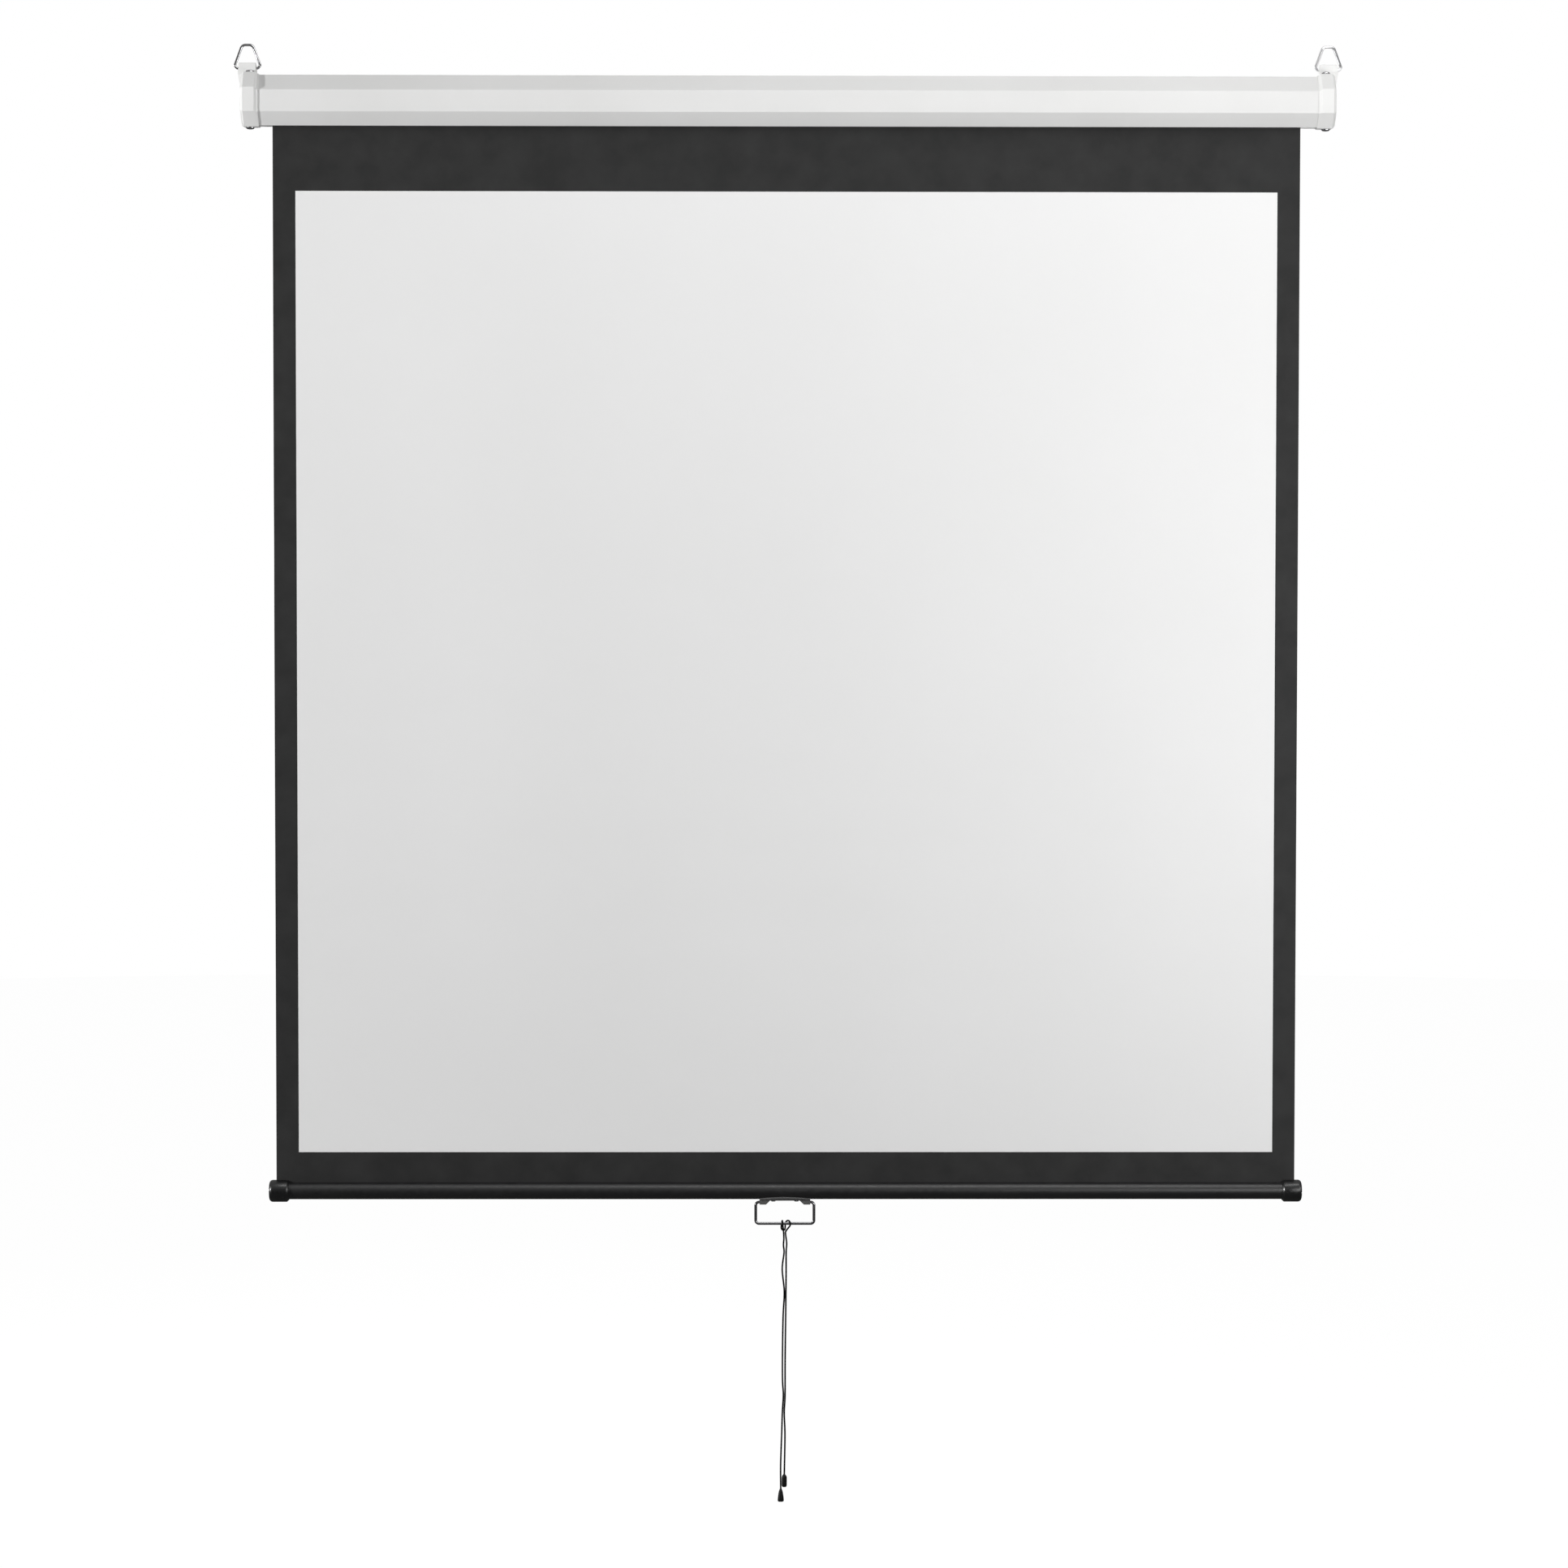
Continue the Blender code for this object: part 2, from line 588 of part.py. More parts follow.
def make_wound_screen(body, material):
    """Safety turns of the sheet that stay on the roller, as one open spiral."""
    per_turn = 28
    path = []
    for step in range(per_turn * WOUND_TURNS + 1):
        turn = step / per_turn
        radius = TAKE_OFF - WOUND_PITCH * turn
        angle = pi - 2 * pi * turn
        path.append((radius * cos(angle), radius * sin(angle)))
    ends = (CLOTH_SHIFT - FABRIC_HALF_WIDTH, CLOTH_SHIFT + FABRIC_HALF_WIDTH)
    piece("wound_screen", extruded(folded(path, FABRIC, FABRIC / 2), *ends), material, body)


def wave(x, fall):
    """Depth of the sheet's slack waves; fall runs from 0 at the case to 1 at the bar."""
    if fall <= 0 or fall >= 1:
        return 0.0
    hold = sin(pi * fall) ** 0.7
    across = sin(2 * pi * (x / 0.64 + 0.15 + 0.22 * fall)) + 0.6 * sin(2 * pi * (x / 0.37 - 0.3 * fall))
    curl = (abs(x) / FABRIC_HALF_WIDTH) ** 8
    return hold * (WAVE_HEIGHT * across * (1 - 0.5 * curl) + EDGE_CURL * curl)


def hem_path():
    """Hem pocket round the rod, from its free end up to the bar's slot, about the bar's axis."""
    radius = HEM_ROD + GAP + FABRIC / 2
    neck = 8.5 * MM
    reach = acos(radius / neck)
    path = [(0.95 * MM, 7.3 * MM)]
    steps = 7
    for step in range(steps + 1):
        angle = pi / 2 - reach - (2 * pi - 2 * reach) * step / steps
        path.append((radius * cos(angle), radius * sin(angle)))
    path.append((0, neck))
    return path


def make_screen(body, materials):
    """Projection sheet from the roller's take-off to the hem in the bar, slightly slack."""
    free_top = CASE_BOTTOM_Z - BAR_Z
    free_bottom = BAR_RADIUS
    heights = [free_bottom]
    rows = 20
    for step in range(rows + 1):
        heights.append(IMAGE_BOTTOM_Z - BAR_Z + IMAGE_HEIGHT * step / rows)
    heights += [free_top, ROLLER_Z - GAP - BAR_Z]
    path = hem_path() + [(0, z) for z in heights]
    image_columns = 13
    columns = [-FABRIC_HALF_WIDTH]
    for step in range(image_columns + 1):
        columns.append(-IMAGE_WIDTH / 2 + IMAGE_WIDTH * step / image_columns)
    columns.append(FABRIC_HALF_WIDTH)

    shape = bmesh.new()
    grid = []
    for y, z in path:
        fall = (free_top - z) / (free_top - free_bottom)
        grid.append([shape.verts.new((x, y + wave(x, fall), z)) for x in columns])
    first_image_row = len(hem_path()) + 1
    for row in range(len(path) - 1):
        for column in range(len(columns) - 1):
            face = shape.faces.new((grid[row][column], grid[row][column + 1],
                                    grid[row + 1][column + 1], grid[row + 1][column]))
            in_image = first_image_row <= row < first_image_row + rows and 0 < column <= image_columns
            face.material_index = 0 if in_image else 1
    mesh = bpy.data.meshes.new("screen_fabric")
    shape.to_mesh(mesh)
    shape.free()
    white, border, backing = materials
    fabric = place("screen_fabric", mesh, white, body)
    for extra in (border, backing, backing):
        mesh.materials.append(extra)
    mesh.shade_smooth()
    solidify = fabric.modifiers.new("Sheet", "SOLIDIFY")
    solidify.thickness = FABRIC
    solidify.offset = 0
    solidify.material_offset = 2


def make_bar(body, paint, steel):
    """Weight tube with a slot for the cloth along its top, and the rod in the cloth's hem."""
    half_slot = asin(BAR_SLOT / 2 / BAR_RADIUS)
    steps = 26
    path = []
    for step in range(steps + 1):
        angle = pi / 2 - half_slot - (2 * pi - 2 * half_slot) * step / steps
        path.append((BAR_RADIUS * cos(angle), BAR_RADIUS * sin(angle)))
    outline = folded(path, BAR_WALL)
    tube = piece("bar_tube", extruded(outline, -BAR_HALF_LENGTH, BAR_HALF_LENGTH), paint, body)
    piece("hem_rod", turned(rod(-794 * MM, 794 * MM, HEM_ROD), 12), steel, body)
    return tube


def make_bar_cap(name, side, slot_angle, body, plastic):
    """Moulded cap over the tube's end: conical lip, round edge, slots for the cloth and to pry it off."""
    bore = BAR_RADIUS + GAP
    floor = BAR_HALF_LENGTH + GAP
    profile = [(BAR_CAP_INNER, bore), (BAR_CAP_INNER, bore + 0.6 * MM),
               (BAR_CAP_INNER + 3.4 * MM, BAR_CAP_RADIUS)]
    corner_x = BAR_CAP_OUTER - BAR_CAP_CORNER
    corner_radius = BAR_CAP_RADIUS - BAR_CAP_CORNER
    steps = 4
    for step in range(steps + 1):
        turn = pi / 2 * step / steps
        profile.append((corner_x + BAR_CAP_CORNER * sin(turn), corner_radius + BAR_CAP_CORNER * cos(turn)))
    profile += [(BAR_CAP_OUTER, 0), (floor, 0), (floor, bore), (BAR_CAP_INNER, bore)]
    cap = piece(name, turned([(side * x, radius) for x, radius in profile], 28), plastic, body)

    start, end = sorted((side * (BAR_CAP_INNER - 5 * MM), side * (FABRIC_HALF_WIDTH + 1 * MM)))
    slot = block((start, -BAR_SLOT / 2, 8 * MM), (end, BAR_SLOT / 2, 25 * MM))
    boolean(cap, piece(name + "_slot", slot, plastic, body))
    start, end = sorted((side * (BAR_CAP_OUTER - 1.4 * MM), side * (BAR_CAP_OUTER + 4 * MM)))
    pry_slot = block((start, -25 * MM, -1.1 * MM), (end, 25 * MM, 1.1 * MM))
    bmesh.ops.rotate(pry_slot, matrix=Matrix.Rotation(radians(slot_angle), 3, "X"), verts=pry_slot.verts)
    boolean(cap, piece(name + "_pry_slot", pry_slot, plastic, body))


def make_saddle(body, tube, plastic, steel):
    """Handle mount: a thin pad that hugs the tube from below, a foot for the bail at each end, rivets."""
    inner = BAR_RADIUS + GAP
    outer = inner + SADDLE_THICKNESS
    stations = 10
    around = 8
    rings = []
    for station in range(stations + 1):
        x = SADDLE_HALF_LENGTH * (2 * station / stations - 1)
        half_wrap = radians(50 - 14 * (x / SADDLE_HALF_LENGTH) ** 2)
        ring = []
        for radius, turn in ((inner, 1), (outer, -1)):
            for step in range(around + 1):
                angle = -pi / 2 + turn * half_wrap * (2 * step / around - 1)
                ring.append((x, radius * cos(angle), radius * sin(angle)))
        rings.append(ring)
    saddle = piece("handle_mount", lofted(rings), plastic, body)

    far = SADDLE_HALF_LENGTH - 0.02 * MM
    near = far - SADDLE_FOOT
    top = -inner - 1.1 * MM
    slope = SADDLE_FOOT_DROP + top
    outline = [(far, top), (far, -SADDLE_FOOT_DROP), (near, -SADDLE_FOOT_DROP), (near - slope, top)]
    head = -outer - 0.2 * MM
    rivet = [(-10.5 * MM, 0), (-10.5 * MM, 1.7 * MM), (head, 1.7 * MM), (head, 3.6 * MM),
             (head - 0.8 * MM, 3 * MM), (head - 1.1 * MM, 0)]
    for label, side in (("left", -1), ("right", 1)):
        foot = lofted([[(side * x, y, z) for x, z in outline] for y in (-5.5 * MM, 5.5 * MM)])
        lower = []
        for edge in foot.edges:
            here, there = (vert.co for vert in edge.verts)
            if max(here.z, there.z) < MERGE - SADDLE_FOOT_DROP and abs(here.y - there.y) < MERGE:
                lower.append(edge)
        bmesh.ops.bevel(foot, geom=lower, offset=SADDLE_FOOT_EDGE, segments=2, affect="EDGES")
        boolean(saddle, piece(f"mount_foot_{label}", foot, plastic, body), "UNION")
        start, end = sorted((side * (BAIL_TAIL - GAP), side * 50 * MM))
        socket = turned(rod(start, end, BAIL_WIRE / 2 + GAP), 12, False, (0, 0, -BAIL_PIVOT))
        boolean(saddle, piece(f"bail_socket_{label}", socket, plastic, body))
        place_of_rivet = (side * RIVET_SPACING / 2, 0, 0)
        for target in (saddle, tube):
            drill = turned(rod(-outer - 4 * MM, 4 * MM - inner, 2 * MM), 10, True, place_of_rivet)
            boolean(target, piece(f"{target.name}_rivet_hole_{label}", drill, plastic, body))
        piece(f"mount_rivet_{label}", turned(rivet, 12, True, place_of_rivet), steel, body)


def make_bail(body, chrome):
    """Wire handle that swings in the saddle's feet."""
    corners = []
    for side in (-1, 1):
        half = [(side * BAIL_TAIL, 0, 0), (side * BAIL_HALF_WIDTH, 0, 0),
                (side * BAIL_HALF_WIDTH, 0, -BAIL_DROP)]
        corners += half if side < 0 else half[::-1]
    wire("handle_bail", rounded(corners, BAIL_CORNER, 5, closed=False), BAIL_WIRE, chrome, body)


def make_ring(name, body, chrome):
    """Hanging ring: a wire trapezoid whose ends turn into the lug's sockets."""
    corners = []
    for side in (-1, 1):
        half = [(side * RING_TAIL, 0, 0), (side * 15.8 * MM, 0, 0),
                (side * RING_HALF_BASE, 0, RING_SHOULDER), (side * RING_HALF_TOP, 0, RING_RISE)]
        corners += half if side < 0 else half[::-1]
    radii = [0, 2.4 * MM, 2.6 * MM, 7 * MM, 7 * MM, 2.6 * MM, 2.4 * MM, 0]
    wire(name, rounded(corners, radii, 5, closed=False), RING_WIRE, chrome, body)


# Route of each half of the doubled cord in millimetres from the middle of the bail's lower wire:
# from the hitch's bight behind the wire, over the wire and to its front, then the fall to the toggle
RIGHT_HITCH = [(-1.9, 2.2, -10.4), (-0.8, 2.2, -10.4), (0.3, 2.8, -8.4), (0.6, 3.9, -4.5),
               (0.9, 4.5, -0.6), (2.4, 3.8, 2.8), (5, 0.7, 4.6), (7.4, -2.9, 3.4), (8.6, -4.4, -0.2),
               (7.6, -4, -3.6), (4.5, -2.6, -7.7), (1.6, -1.1, -12)]
RIGHT_FALL = [(1.2, 0, -17), (2.9, 0, -31), (2.1, -0.5, -46), (2.1, 0, -76), (1.8, -1.1, -107),
              (1.5, -0.4, -140), (0.7, 0, -215), (0.6, -1, -270), (-0.7, -0.9, -298), (0.5, 0, -333),
              (-0.5, 0, -395.6)]
LEFT_HITCH = [(-2.3, 2.2, -10.4), (-3.5, 2.2, -10.4), (-5.2, 2.5, -8.5), (-5.5, 3.3, -5.2),
              (-4.9, 4.4, -1.2), (-4.2, 3.3, 2.9), (-3.9, 0.1, 4.4), (-3.7, -3.3, 2.8), (-3.3, -4.3, -0.4),
              (-2.9, -3.7, -5), (-2.4, -2.2, -9.4)]
LEFT_FALL = [(-1.9, -0.7, -14), (-1.5, 0, -24), (-2.1, 0, -34), (-1.2, 0.5, -46), (-4, 0, -72),
             (-0.8, 1.1, -107), (-2.5, 0.4, -145), (-3.4, 0, -195), (-3.4, 0.1, -245), (-2.1, 1, -270),
             (-3.6, 0.9, -298), (-4.7, 0, -334), (-6.2, 0, -380), (-6, 0, -418.3)]
HITCH_STEP = 2.3 * MM
FALL_STEP = 15.5 * MM
TOGGLE_GAP = 0.3


def smooth_route(hitch, fall):
    """Points on a smooth curve through the route, closer together in the hitch than on the fall."""
    knots = [Vector(point) * MM for point in hitch + fall]
    ends = [2 * knots[0] - knots[1]] + knots + [2 * knots[-1] - knots[-2]]
    points = []
    for index in range(len(knots) - 1):
        before, start, end, after = ends[index:index + 4]
        spacing = HITCH_STEP if index < len(hitch) else FALL_STEP
        samples = max(1, round((end - start).length / spacing))
        for sample in range(samples):
            t = sample / samples
            curve = 2 * start + (end - before) * t + (2 * before - 5 * start + 4 * end - after) * t ** 2
            points.append((curve + (3 * start - before - 3 * end + after) * t ** 3) / 2)
    points.append(knots[-1])
    return points


def make_cord(body, cord, wood):
    """Doubled pull cord hitched on the bail, each fall with its toggle."""
    wire("cord_strand_right", smooth_route(RIGHT_HITCH, RIGHT_FALL), CORD, cord, body)
    wire("cord_strand_left", smooth_route(LEFT_HITCH, LEFT_FALL), CORD, cord, body)
    barrel = [(0, 0), (0, 1.8), (-0.7, 2.8), (-2.2, 3.7), (-4.4, 4.05), (-16, 4.05), (-18, 3.6),
              (-18.9, 2.8), (-18.9, 0)]
    bell = [(0, 0), (0, 1.6), (-1.2, 2.3), (-4, 3.2), (-9.4, 4.1), (-14.7, 4.75), (-17.6, 4.85),
            (-18.8, 4.5), (-19.2, 3.8), (-19.2, 0)]
    for name, profile, fall in (("cord_toggle_right", barrel, RIGHT_FALL),
                                ("cord_toggle_left", bell, LEFT_FALL)):
        across, depth, height = fall[-1]
        outline = [(along * MM, radius * MM) for along, radius in profile]
        top = Vector((across, depth, height - TOGGLE_GAP)) * MM
        piece(name, turned(outline, 16, True, top), wood, body)


def build():
    for obj in list(bpy.data.objects):
        bpy.data.objects.remove(obj)

    white_paint = finish("white painted steel", (0.80, 0.80, 0.79), 0.42)
    white_plastic = finish("white moulded plastic", (0.86, 0.86, 0.85), 0.45)
    chrome = finish("bright chrome", (0.75, 0.75, 0.76), 0.12, 1.0)
    dark_chrome = finish("dark chrome", (0.45, 0.45, 0.46), 0.15, 1.0)
    zinc = finish("zinc plated steel", (0.62, 0.63, 0.64), 0.4, 1.0)
    die_cast = finish("die cast zinc", (0.5, 0.51, 0.53), 0.5, 1.0)
    spring_steel = finish("spring steel", (0.35, 0.35, 0.36), 0.35, 1.0)
    natural_nylon = finish("natural nylon", (0.78, 0.76, 0.70), 0.5)
    black_paint = finish("black painted tube", (0.035, 0.035, 0.037), 0.35)
    black_plastic = finish("black moulded plastic", (0.04, 0.04, 0.042), 0.38)
    grey_plastic = finish("dark grey plastic", (0.12, 0.12, 0.12), 0.45)
    matt_white = finish("matt white screen", (0.86, 0.86, 0.86), 0.9)
    matt_black = finish("matt black border", (0.03, 0.03, 0.03), 0.85)
    black_backing = finish("black backing", (0.025, 0.025, 0.025), 0.8)
    black_cord = finish("black cord", (0.02, 0.02, 0.02), 0.75)
    black_toggle = finish("black toggle", (0.025, 0.025, 0.025), 0.4)

    case = body_at("case_body", (0, CASE_Y, CASE_Z))
    make_case(case, white_paint)
    for name, side in (("left", -1), ("right", 1)):
        make_end_cap(f"end_cap_{name}", side, case, white_plastic)
        make_cap_screw(f"cap_screw_{name}_top", side, 1, TOP_SCREW_DEPTH, case, chrome)
        make_cap_screw(f"cap_screw_{name}_bottom", side, -1, BOTTOM_SCREW_DEPTH, case, chrome)
        make_bracket(f"axle_bracket_{name}", side, case, zinc)

    axle = body_at("axle_line", (0, ROLLER_Y, ROLLER_Z))
    make_spindle(axle, zinc)
    make_ratchet(axle, die_cast)
    make_spring(axle, spring_steel, die_cast)
    bush = [(838 * MM, 4.35 * MM), (838 * MM, 9.5 * MM), (841 * MM, 9.5 * MM), (841 * MM, 7 * MM),
            (843.1 * MM, 7 * MM), (843.1 * MM, 4.35 * MM), (838 * MM, 4.35 * MM)]
    piece("idle_bush", turned(bush, 20), natural_nylon, axle)

    roller = body_at("roller_body", (0, ROLLER_Y, ROLLER_Z))
    make_roller(roller, (zinc, die_cast, natural_nylon))
    make_wound_screen(roller, black_backing)
    for name, turn in (("upper", 1), ("lower", -1)):
        pawl_axis = body_at(f"pawl_axis_{name}", (0, ROLLER_Y, ROLLER_Z + turn * PAWL_PIVOT))
        make_pawl(f"pawl_{name}", turn, pawl_axis, spring_steel)

    bar = body_at("bar_body", (CLOTH_SHIFT, FABRIC_Y, BAR_Z))
    make_screen(bar, (matt_white, matt_black, black_backing))
    tube = make_bar(bar, black_paint, zinc)
    make_bar_cap("bar_cap_left", -1, -14, bar, black_plastic)
    make_bar_cap("bar_cap_right", 1, 8, bar, black_plastic)
    handle_x = CLOTH_SHIFT + HANDLE_SHIFT
    make_saddle(body_at("mount_place", (handle_x, FABRIC_Y, BAR_Z)), tube, grey_plastic, zinc)
    make_bail(body_at("bail_axis", (handle_x, FABRIC_Y, BAIL_PIVOT_Z)), dark_chrome)
    make_cord(body_at("cord_axis", (handle_x, FABRIC_Y, BAIL_WIRE_Z)), black_cord, black_toggle)

    for name, side in (("left", -1), ("right", 1)):
        ring_axis = body_at(f"ring_axis_{name}", (side * LUG_CENTRE, 0, RING_PIVOT_Z))
        make_ring(f"hanging_ring_{name}", ring_axis, chrome)


build()
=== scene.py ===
from math import acos, cos, exp, pi, radians, sin, tan

import bmesh
import bpy
from mathutils import Matrix, Vector


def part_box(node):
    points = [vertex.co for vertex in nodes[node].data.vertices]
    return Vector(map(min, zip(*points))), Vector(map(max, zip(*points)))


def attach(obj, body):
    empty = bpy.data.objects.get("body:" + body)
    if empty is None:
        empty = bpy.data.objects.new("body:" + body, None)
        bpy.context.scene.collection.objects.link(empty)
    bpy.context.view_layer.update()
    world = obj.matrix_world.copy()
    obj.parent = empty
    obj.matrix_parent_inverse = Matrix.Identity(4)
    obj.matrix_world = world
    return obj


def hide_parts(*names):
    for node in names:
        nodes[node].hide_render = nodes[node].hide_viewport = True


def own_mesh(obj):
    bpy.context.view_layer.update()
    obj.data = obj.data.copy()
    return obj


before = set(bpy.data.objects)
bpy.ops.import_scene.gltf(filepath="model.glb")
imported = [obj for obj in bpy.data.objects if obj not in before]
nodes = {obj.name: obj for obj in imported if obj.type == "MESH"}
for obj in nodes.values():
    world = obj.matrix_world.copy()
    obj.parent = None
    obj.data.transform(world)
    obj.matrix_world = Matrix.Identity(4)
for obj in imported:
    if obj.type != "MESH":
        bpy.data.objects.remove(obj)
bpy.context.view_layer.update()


# Viewpoint: the screen is seen from about 7.2 m with a long lens, from a little above the middle
# of the cloth and almost square on, looking slightly down, so that it fills the square picture.

PICTURE_SENSOR = 36
PICTURE_LENS = 106.313
VIEWPOINT = (-0.0719, -7.21375, -0.82274)
VIEW_YAW = -0.5247
VIEW_PITCH = -2.5325
VIEW_ROLL = -0.0559
VIEW_DEPTH = 60

camera_data = bpy.data.cameras.new("photograph view")
camera_data.sensor_width = PICTURE_SENSOR
camera_data.lens = PICTURE_LENS
camera_data.clip_end = VIEW_DEPTH
camera = bpy.data.objects.new("photograph view", camera_data)
bpy.context.scene.collection.objects.link(camera)
camera.matrix_world = (Matrix.Translation(VIEWPOINT)
                       @ Matrix.Rotation(radians(VIEW_YAW), 4, "Z")
                       @ Matrix.Rotation(radians(VIEW_PITCH), 4, "X")
                       @ Matrix.Rotation(radians(VIEW_ROLL), 4, "Y")
                       @ Matrix.Rotation(radians(90), 4, "X"))
bpy.context.scene.camera = camera


# Studio: a plain floor below the hanging screen, a white room, a small lamp on the left that
# throws the left cap's shadow on the case, soft ones on the right, in front, above and behind.

def reckoned(tree, operation, *terms):
    """Output of a math node whose terms are sockets or plain numbers."""
    made = tree.nodes.new("ShaderNodeMath")
    made.operation = operation
    for term, socket in zip(terms, made.inputs):
        if isinstance(term, (int, float)):
            socket.default_value = term
        else:
            tree.links.new(term, socket)
    return made.outputs[0]


def ranged(tree, source, low, high, to_low, to_high):
    """Output that runs from to_low to to_high as the source runs from low to high."""
    made = tree.nodes.new("ShaderNodeMapRange")
    for socket, value in (("From Min", low), ("From Max", high), ("To Min", to_low), ("To Max", to_high)):
        made.inputs[socket].default_value = value
    tree.links.new(source, made.inputs["Value"])
    return made.outputs[0]


def blended(tree, share, first, second):
    """Output of a mix of two shaders, with that share of the second."""
    made = tree.nodes.new("ShaderNodeMixShader")
    for term, socket in zip((share, first, second), made.inputs):
        tree.links.new(term, socket)
    return made.outputs[0]


FLOOR_Z = -2.62
FLOOR_RADIUS = 14
FLOOR_SIDES = 96
FLOOR_GREY = 0.47
FLOOR_GLOW = 1.09
GLOSSY_LOSS = 1.02
GLOW_SHARE = 0.9
ROOM_LIGHT = 0.1
BACKDROP_EDGE = 0.85
CEILING_EDGE = 0.9
MIRROR_FRONT = 0.05
MIRROR_CEILING = 0.5

bpy.ops.object.select_all(action="DESELECT")
bpy.ops.mesh.primitive_circle_add(vertices=FLOOR_SIDES, radius=FLOOR_RADIUS, fill_type="NGON",
                                  location=(0, 0, FLOOR_Z))
floor = bpy.context.object
floor.name = "studio_floor"
floor_paint = bpy.data.materials.new("pale floor paint")
floor_paint.use_nodes = True
floor_tree = floor_paint.node_tree
floor_shader = floor_tree.nodes["Principled BSDF"]
floor_shader.inputs["Base Color"].default_value = (FLOOR_GREY, FLOOR_GREY, FLOOR_GREY, 1)
floor_shader.inputs["Roughness"].default_value = 0.9
floor_shader.inputs["Specular IOR Level"].default_value = 0.1
floor_glow = floor_tree.nodes.new("ShaderNodeEmission")
floor_rays = floor_tree.nodes.new("ShaderNodeLightPath")
# glossy pieces mirror the floor at a fraction of its brightness, as the metal in the photograph does
floor_dimmed = reckoned(floor_tree, "MULTIPLY_ADD", floor_rays.outputs["Is Glossy Ray"],
                        -GLOSSY_LOSS, FLOOR_GLOW)
floor_tree.links.new(floor_dimmed, floor_glow.inputs["Strength"])
floor_seen = reckoned(floor_tree, "MAXIMUM", floor_rays.outputs["Is Camera Ray"],
                      floor_rays.outputs["Is Glossy Ray"])
floor_through = reckoned(floor_tree, "MAXIMUM", floor_seen, floor_rays.outputs["Is Transmission Ray"])
floor_share = reckoned(floor_tree, "MULTIPLY", floor_through, GLOW_SHARE)
floor_surface = blended(floor_tree, floor_share, floor_shader.outputs[0], floor_glow.outputs[0])
floor_tree.links.new(floor_surface, floor_tree.nodes["Material Output"].inputs["Surface"])
floor.data.materials.append(floor_paint)

room = bpy.data.worlds.new("white studio")
room.use_nodes = True
bpy.context.scene.world = room
room_tree = room.node_tree
room_light = room_tree.nodes["Background"]
backdrop = room_tree.nodes.new("ShaderNodeBackground")
mirrored = room_tree.nodes.new("ShaderNodeBackground")
for background in (room_light, backdrop, mirrored):
    background.inputs["Color"].default_value = (1, 1, 1, 1)
room_light.inputs["Strength"].default_value = ROOM_LIGHT
backdrop.inputs["Strength"].default_value = 1
room_direction = room_tree.nodes.new("ShaderNodeTexCoord")
room_axes = room_tree.nodes.new("ShaderNodeSeparateXYZ")
room_tree.links.new(room_direction.outputs["Generated"], room_axes.inputs[0])
# metal mirrors the white backdrop behind the screen, the pale ceiling and the dim room in front
room_depth = ranged(room_tree, room_axes.outputs["Y"], BACKDROP_EDGE, 1, MIRROR_FRONT, 1)
room_height = ranged(room_tree, room_axes.outputs["Z"], 0, CEILING_EDGE, MIRROR_FRONT, MIRROR_CEILING)
room_tree.links.new(reckoned(room_tree, "MAXIMUM", room_depth, room_height), mirrored.inputs["Strength"])
room_rays = room_tree.nodes.new("ShaderNodeLightPath")
room_seen = reckoned(room_tree, "MAXIMUM", room_rays.outputs["Is Camera Ray"],
                     room_rays.outputs["Is Transmission Ray"])
room_mirror = blended(room_tree, room_rays.outputs["Is Glossy Ray"], room_light.outputs[0],
                      mirrored.outputs[0])
room_surface = blended(room_tree, room_seen, room_mirror, backdrop.outputs[0])
room_tree.links.new(room_surface, room_tree.nodes["World Output"].inputs["Surface"])

for name, place, aim, width, height, watts in (
        ("left lamp", (-5.11, -1.99, -0.45), (0, 0, -0.6), 0.16, 0.16, 228),
        ("right soft lamp", (2.6, -1.2, -0.9), (0.6, 0, -0.1), 1.2, 1.2, 19),
        ("front soft lamp", (1.4, -1.8, -1.2), (0.8, 0, -0.1), 1.2, 1.2, 17.5),
        ("upper soft lamp", (0.6, -1.1, 1.2), (0.2, 0, -0.3), 2.4, 0.8, 22.5),
        ("rear soft lamp", (-1.2, 3.6, 0.9), (0, 0, -0.8), 2.4, 2.4, 75)):
    lamp_data = bpy.data.lights.new(name, "AREA")
    lamp_data.shape = "RECTANGLE"
    lamp_data.size = width
    lamp_data.size_y = height
    lamp_data.energy = watts
    lamp = bpy.data.objects.new(name, lamp_data)
    bpy.context.scene.collection.objects.link(lamp)
    lamp.location = place
    lamp.rotation_euler = (Vector(aim) - Vector(place)).to_track_quat("-Z", "Y").to_euler()
    lamp.visible_glossy = name != "rear soft lamp"

bpy.context.scene.view_settings.view_transform = "Standard"


# Case: one sheet of steel folded into a long eight-sided housing with a slot along its bottom
# for the cloth, powder painted white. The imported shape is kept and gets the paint.

PATTERN_LOW = 0.3
PATTERN_HIGH = 0.7
EDGE_START = 0.99
EDGE_FULL = 0.85
WEAR_PATCHES = 160


def finish(name, colour, roughness, metal=0.0, **even):
    """A material whose even values sit on the shader's own sockets."""
    material = bpy.data.materials.new(name)
    material.use_nodes = True
    shader = material.node_tree.nodes["Principled BSDF"]
    shader.inputs["Base Color"].default_value = (*colour, 1)
    shader.inputs["Roughness"].default_value = roughness
    shader.inputs["Metallic"].default_value = metal
    for socket, value in even.items():
        shader.inputs[socket.replace("_", " ")].default_value = value
    return material


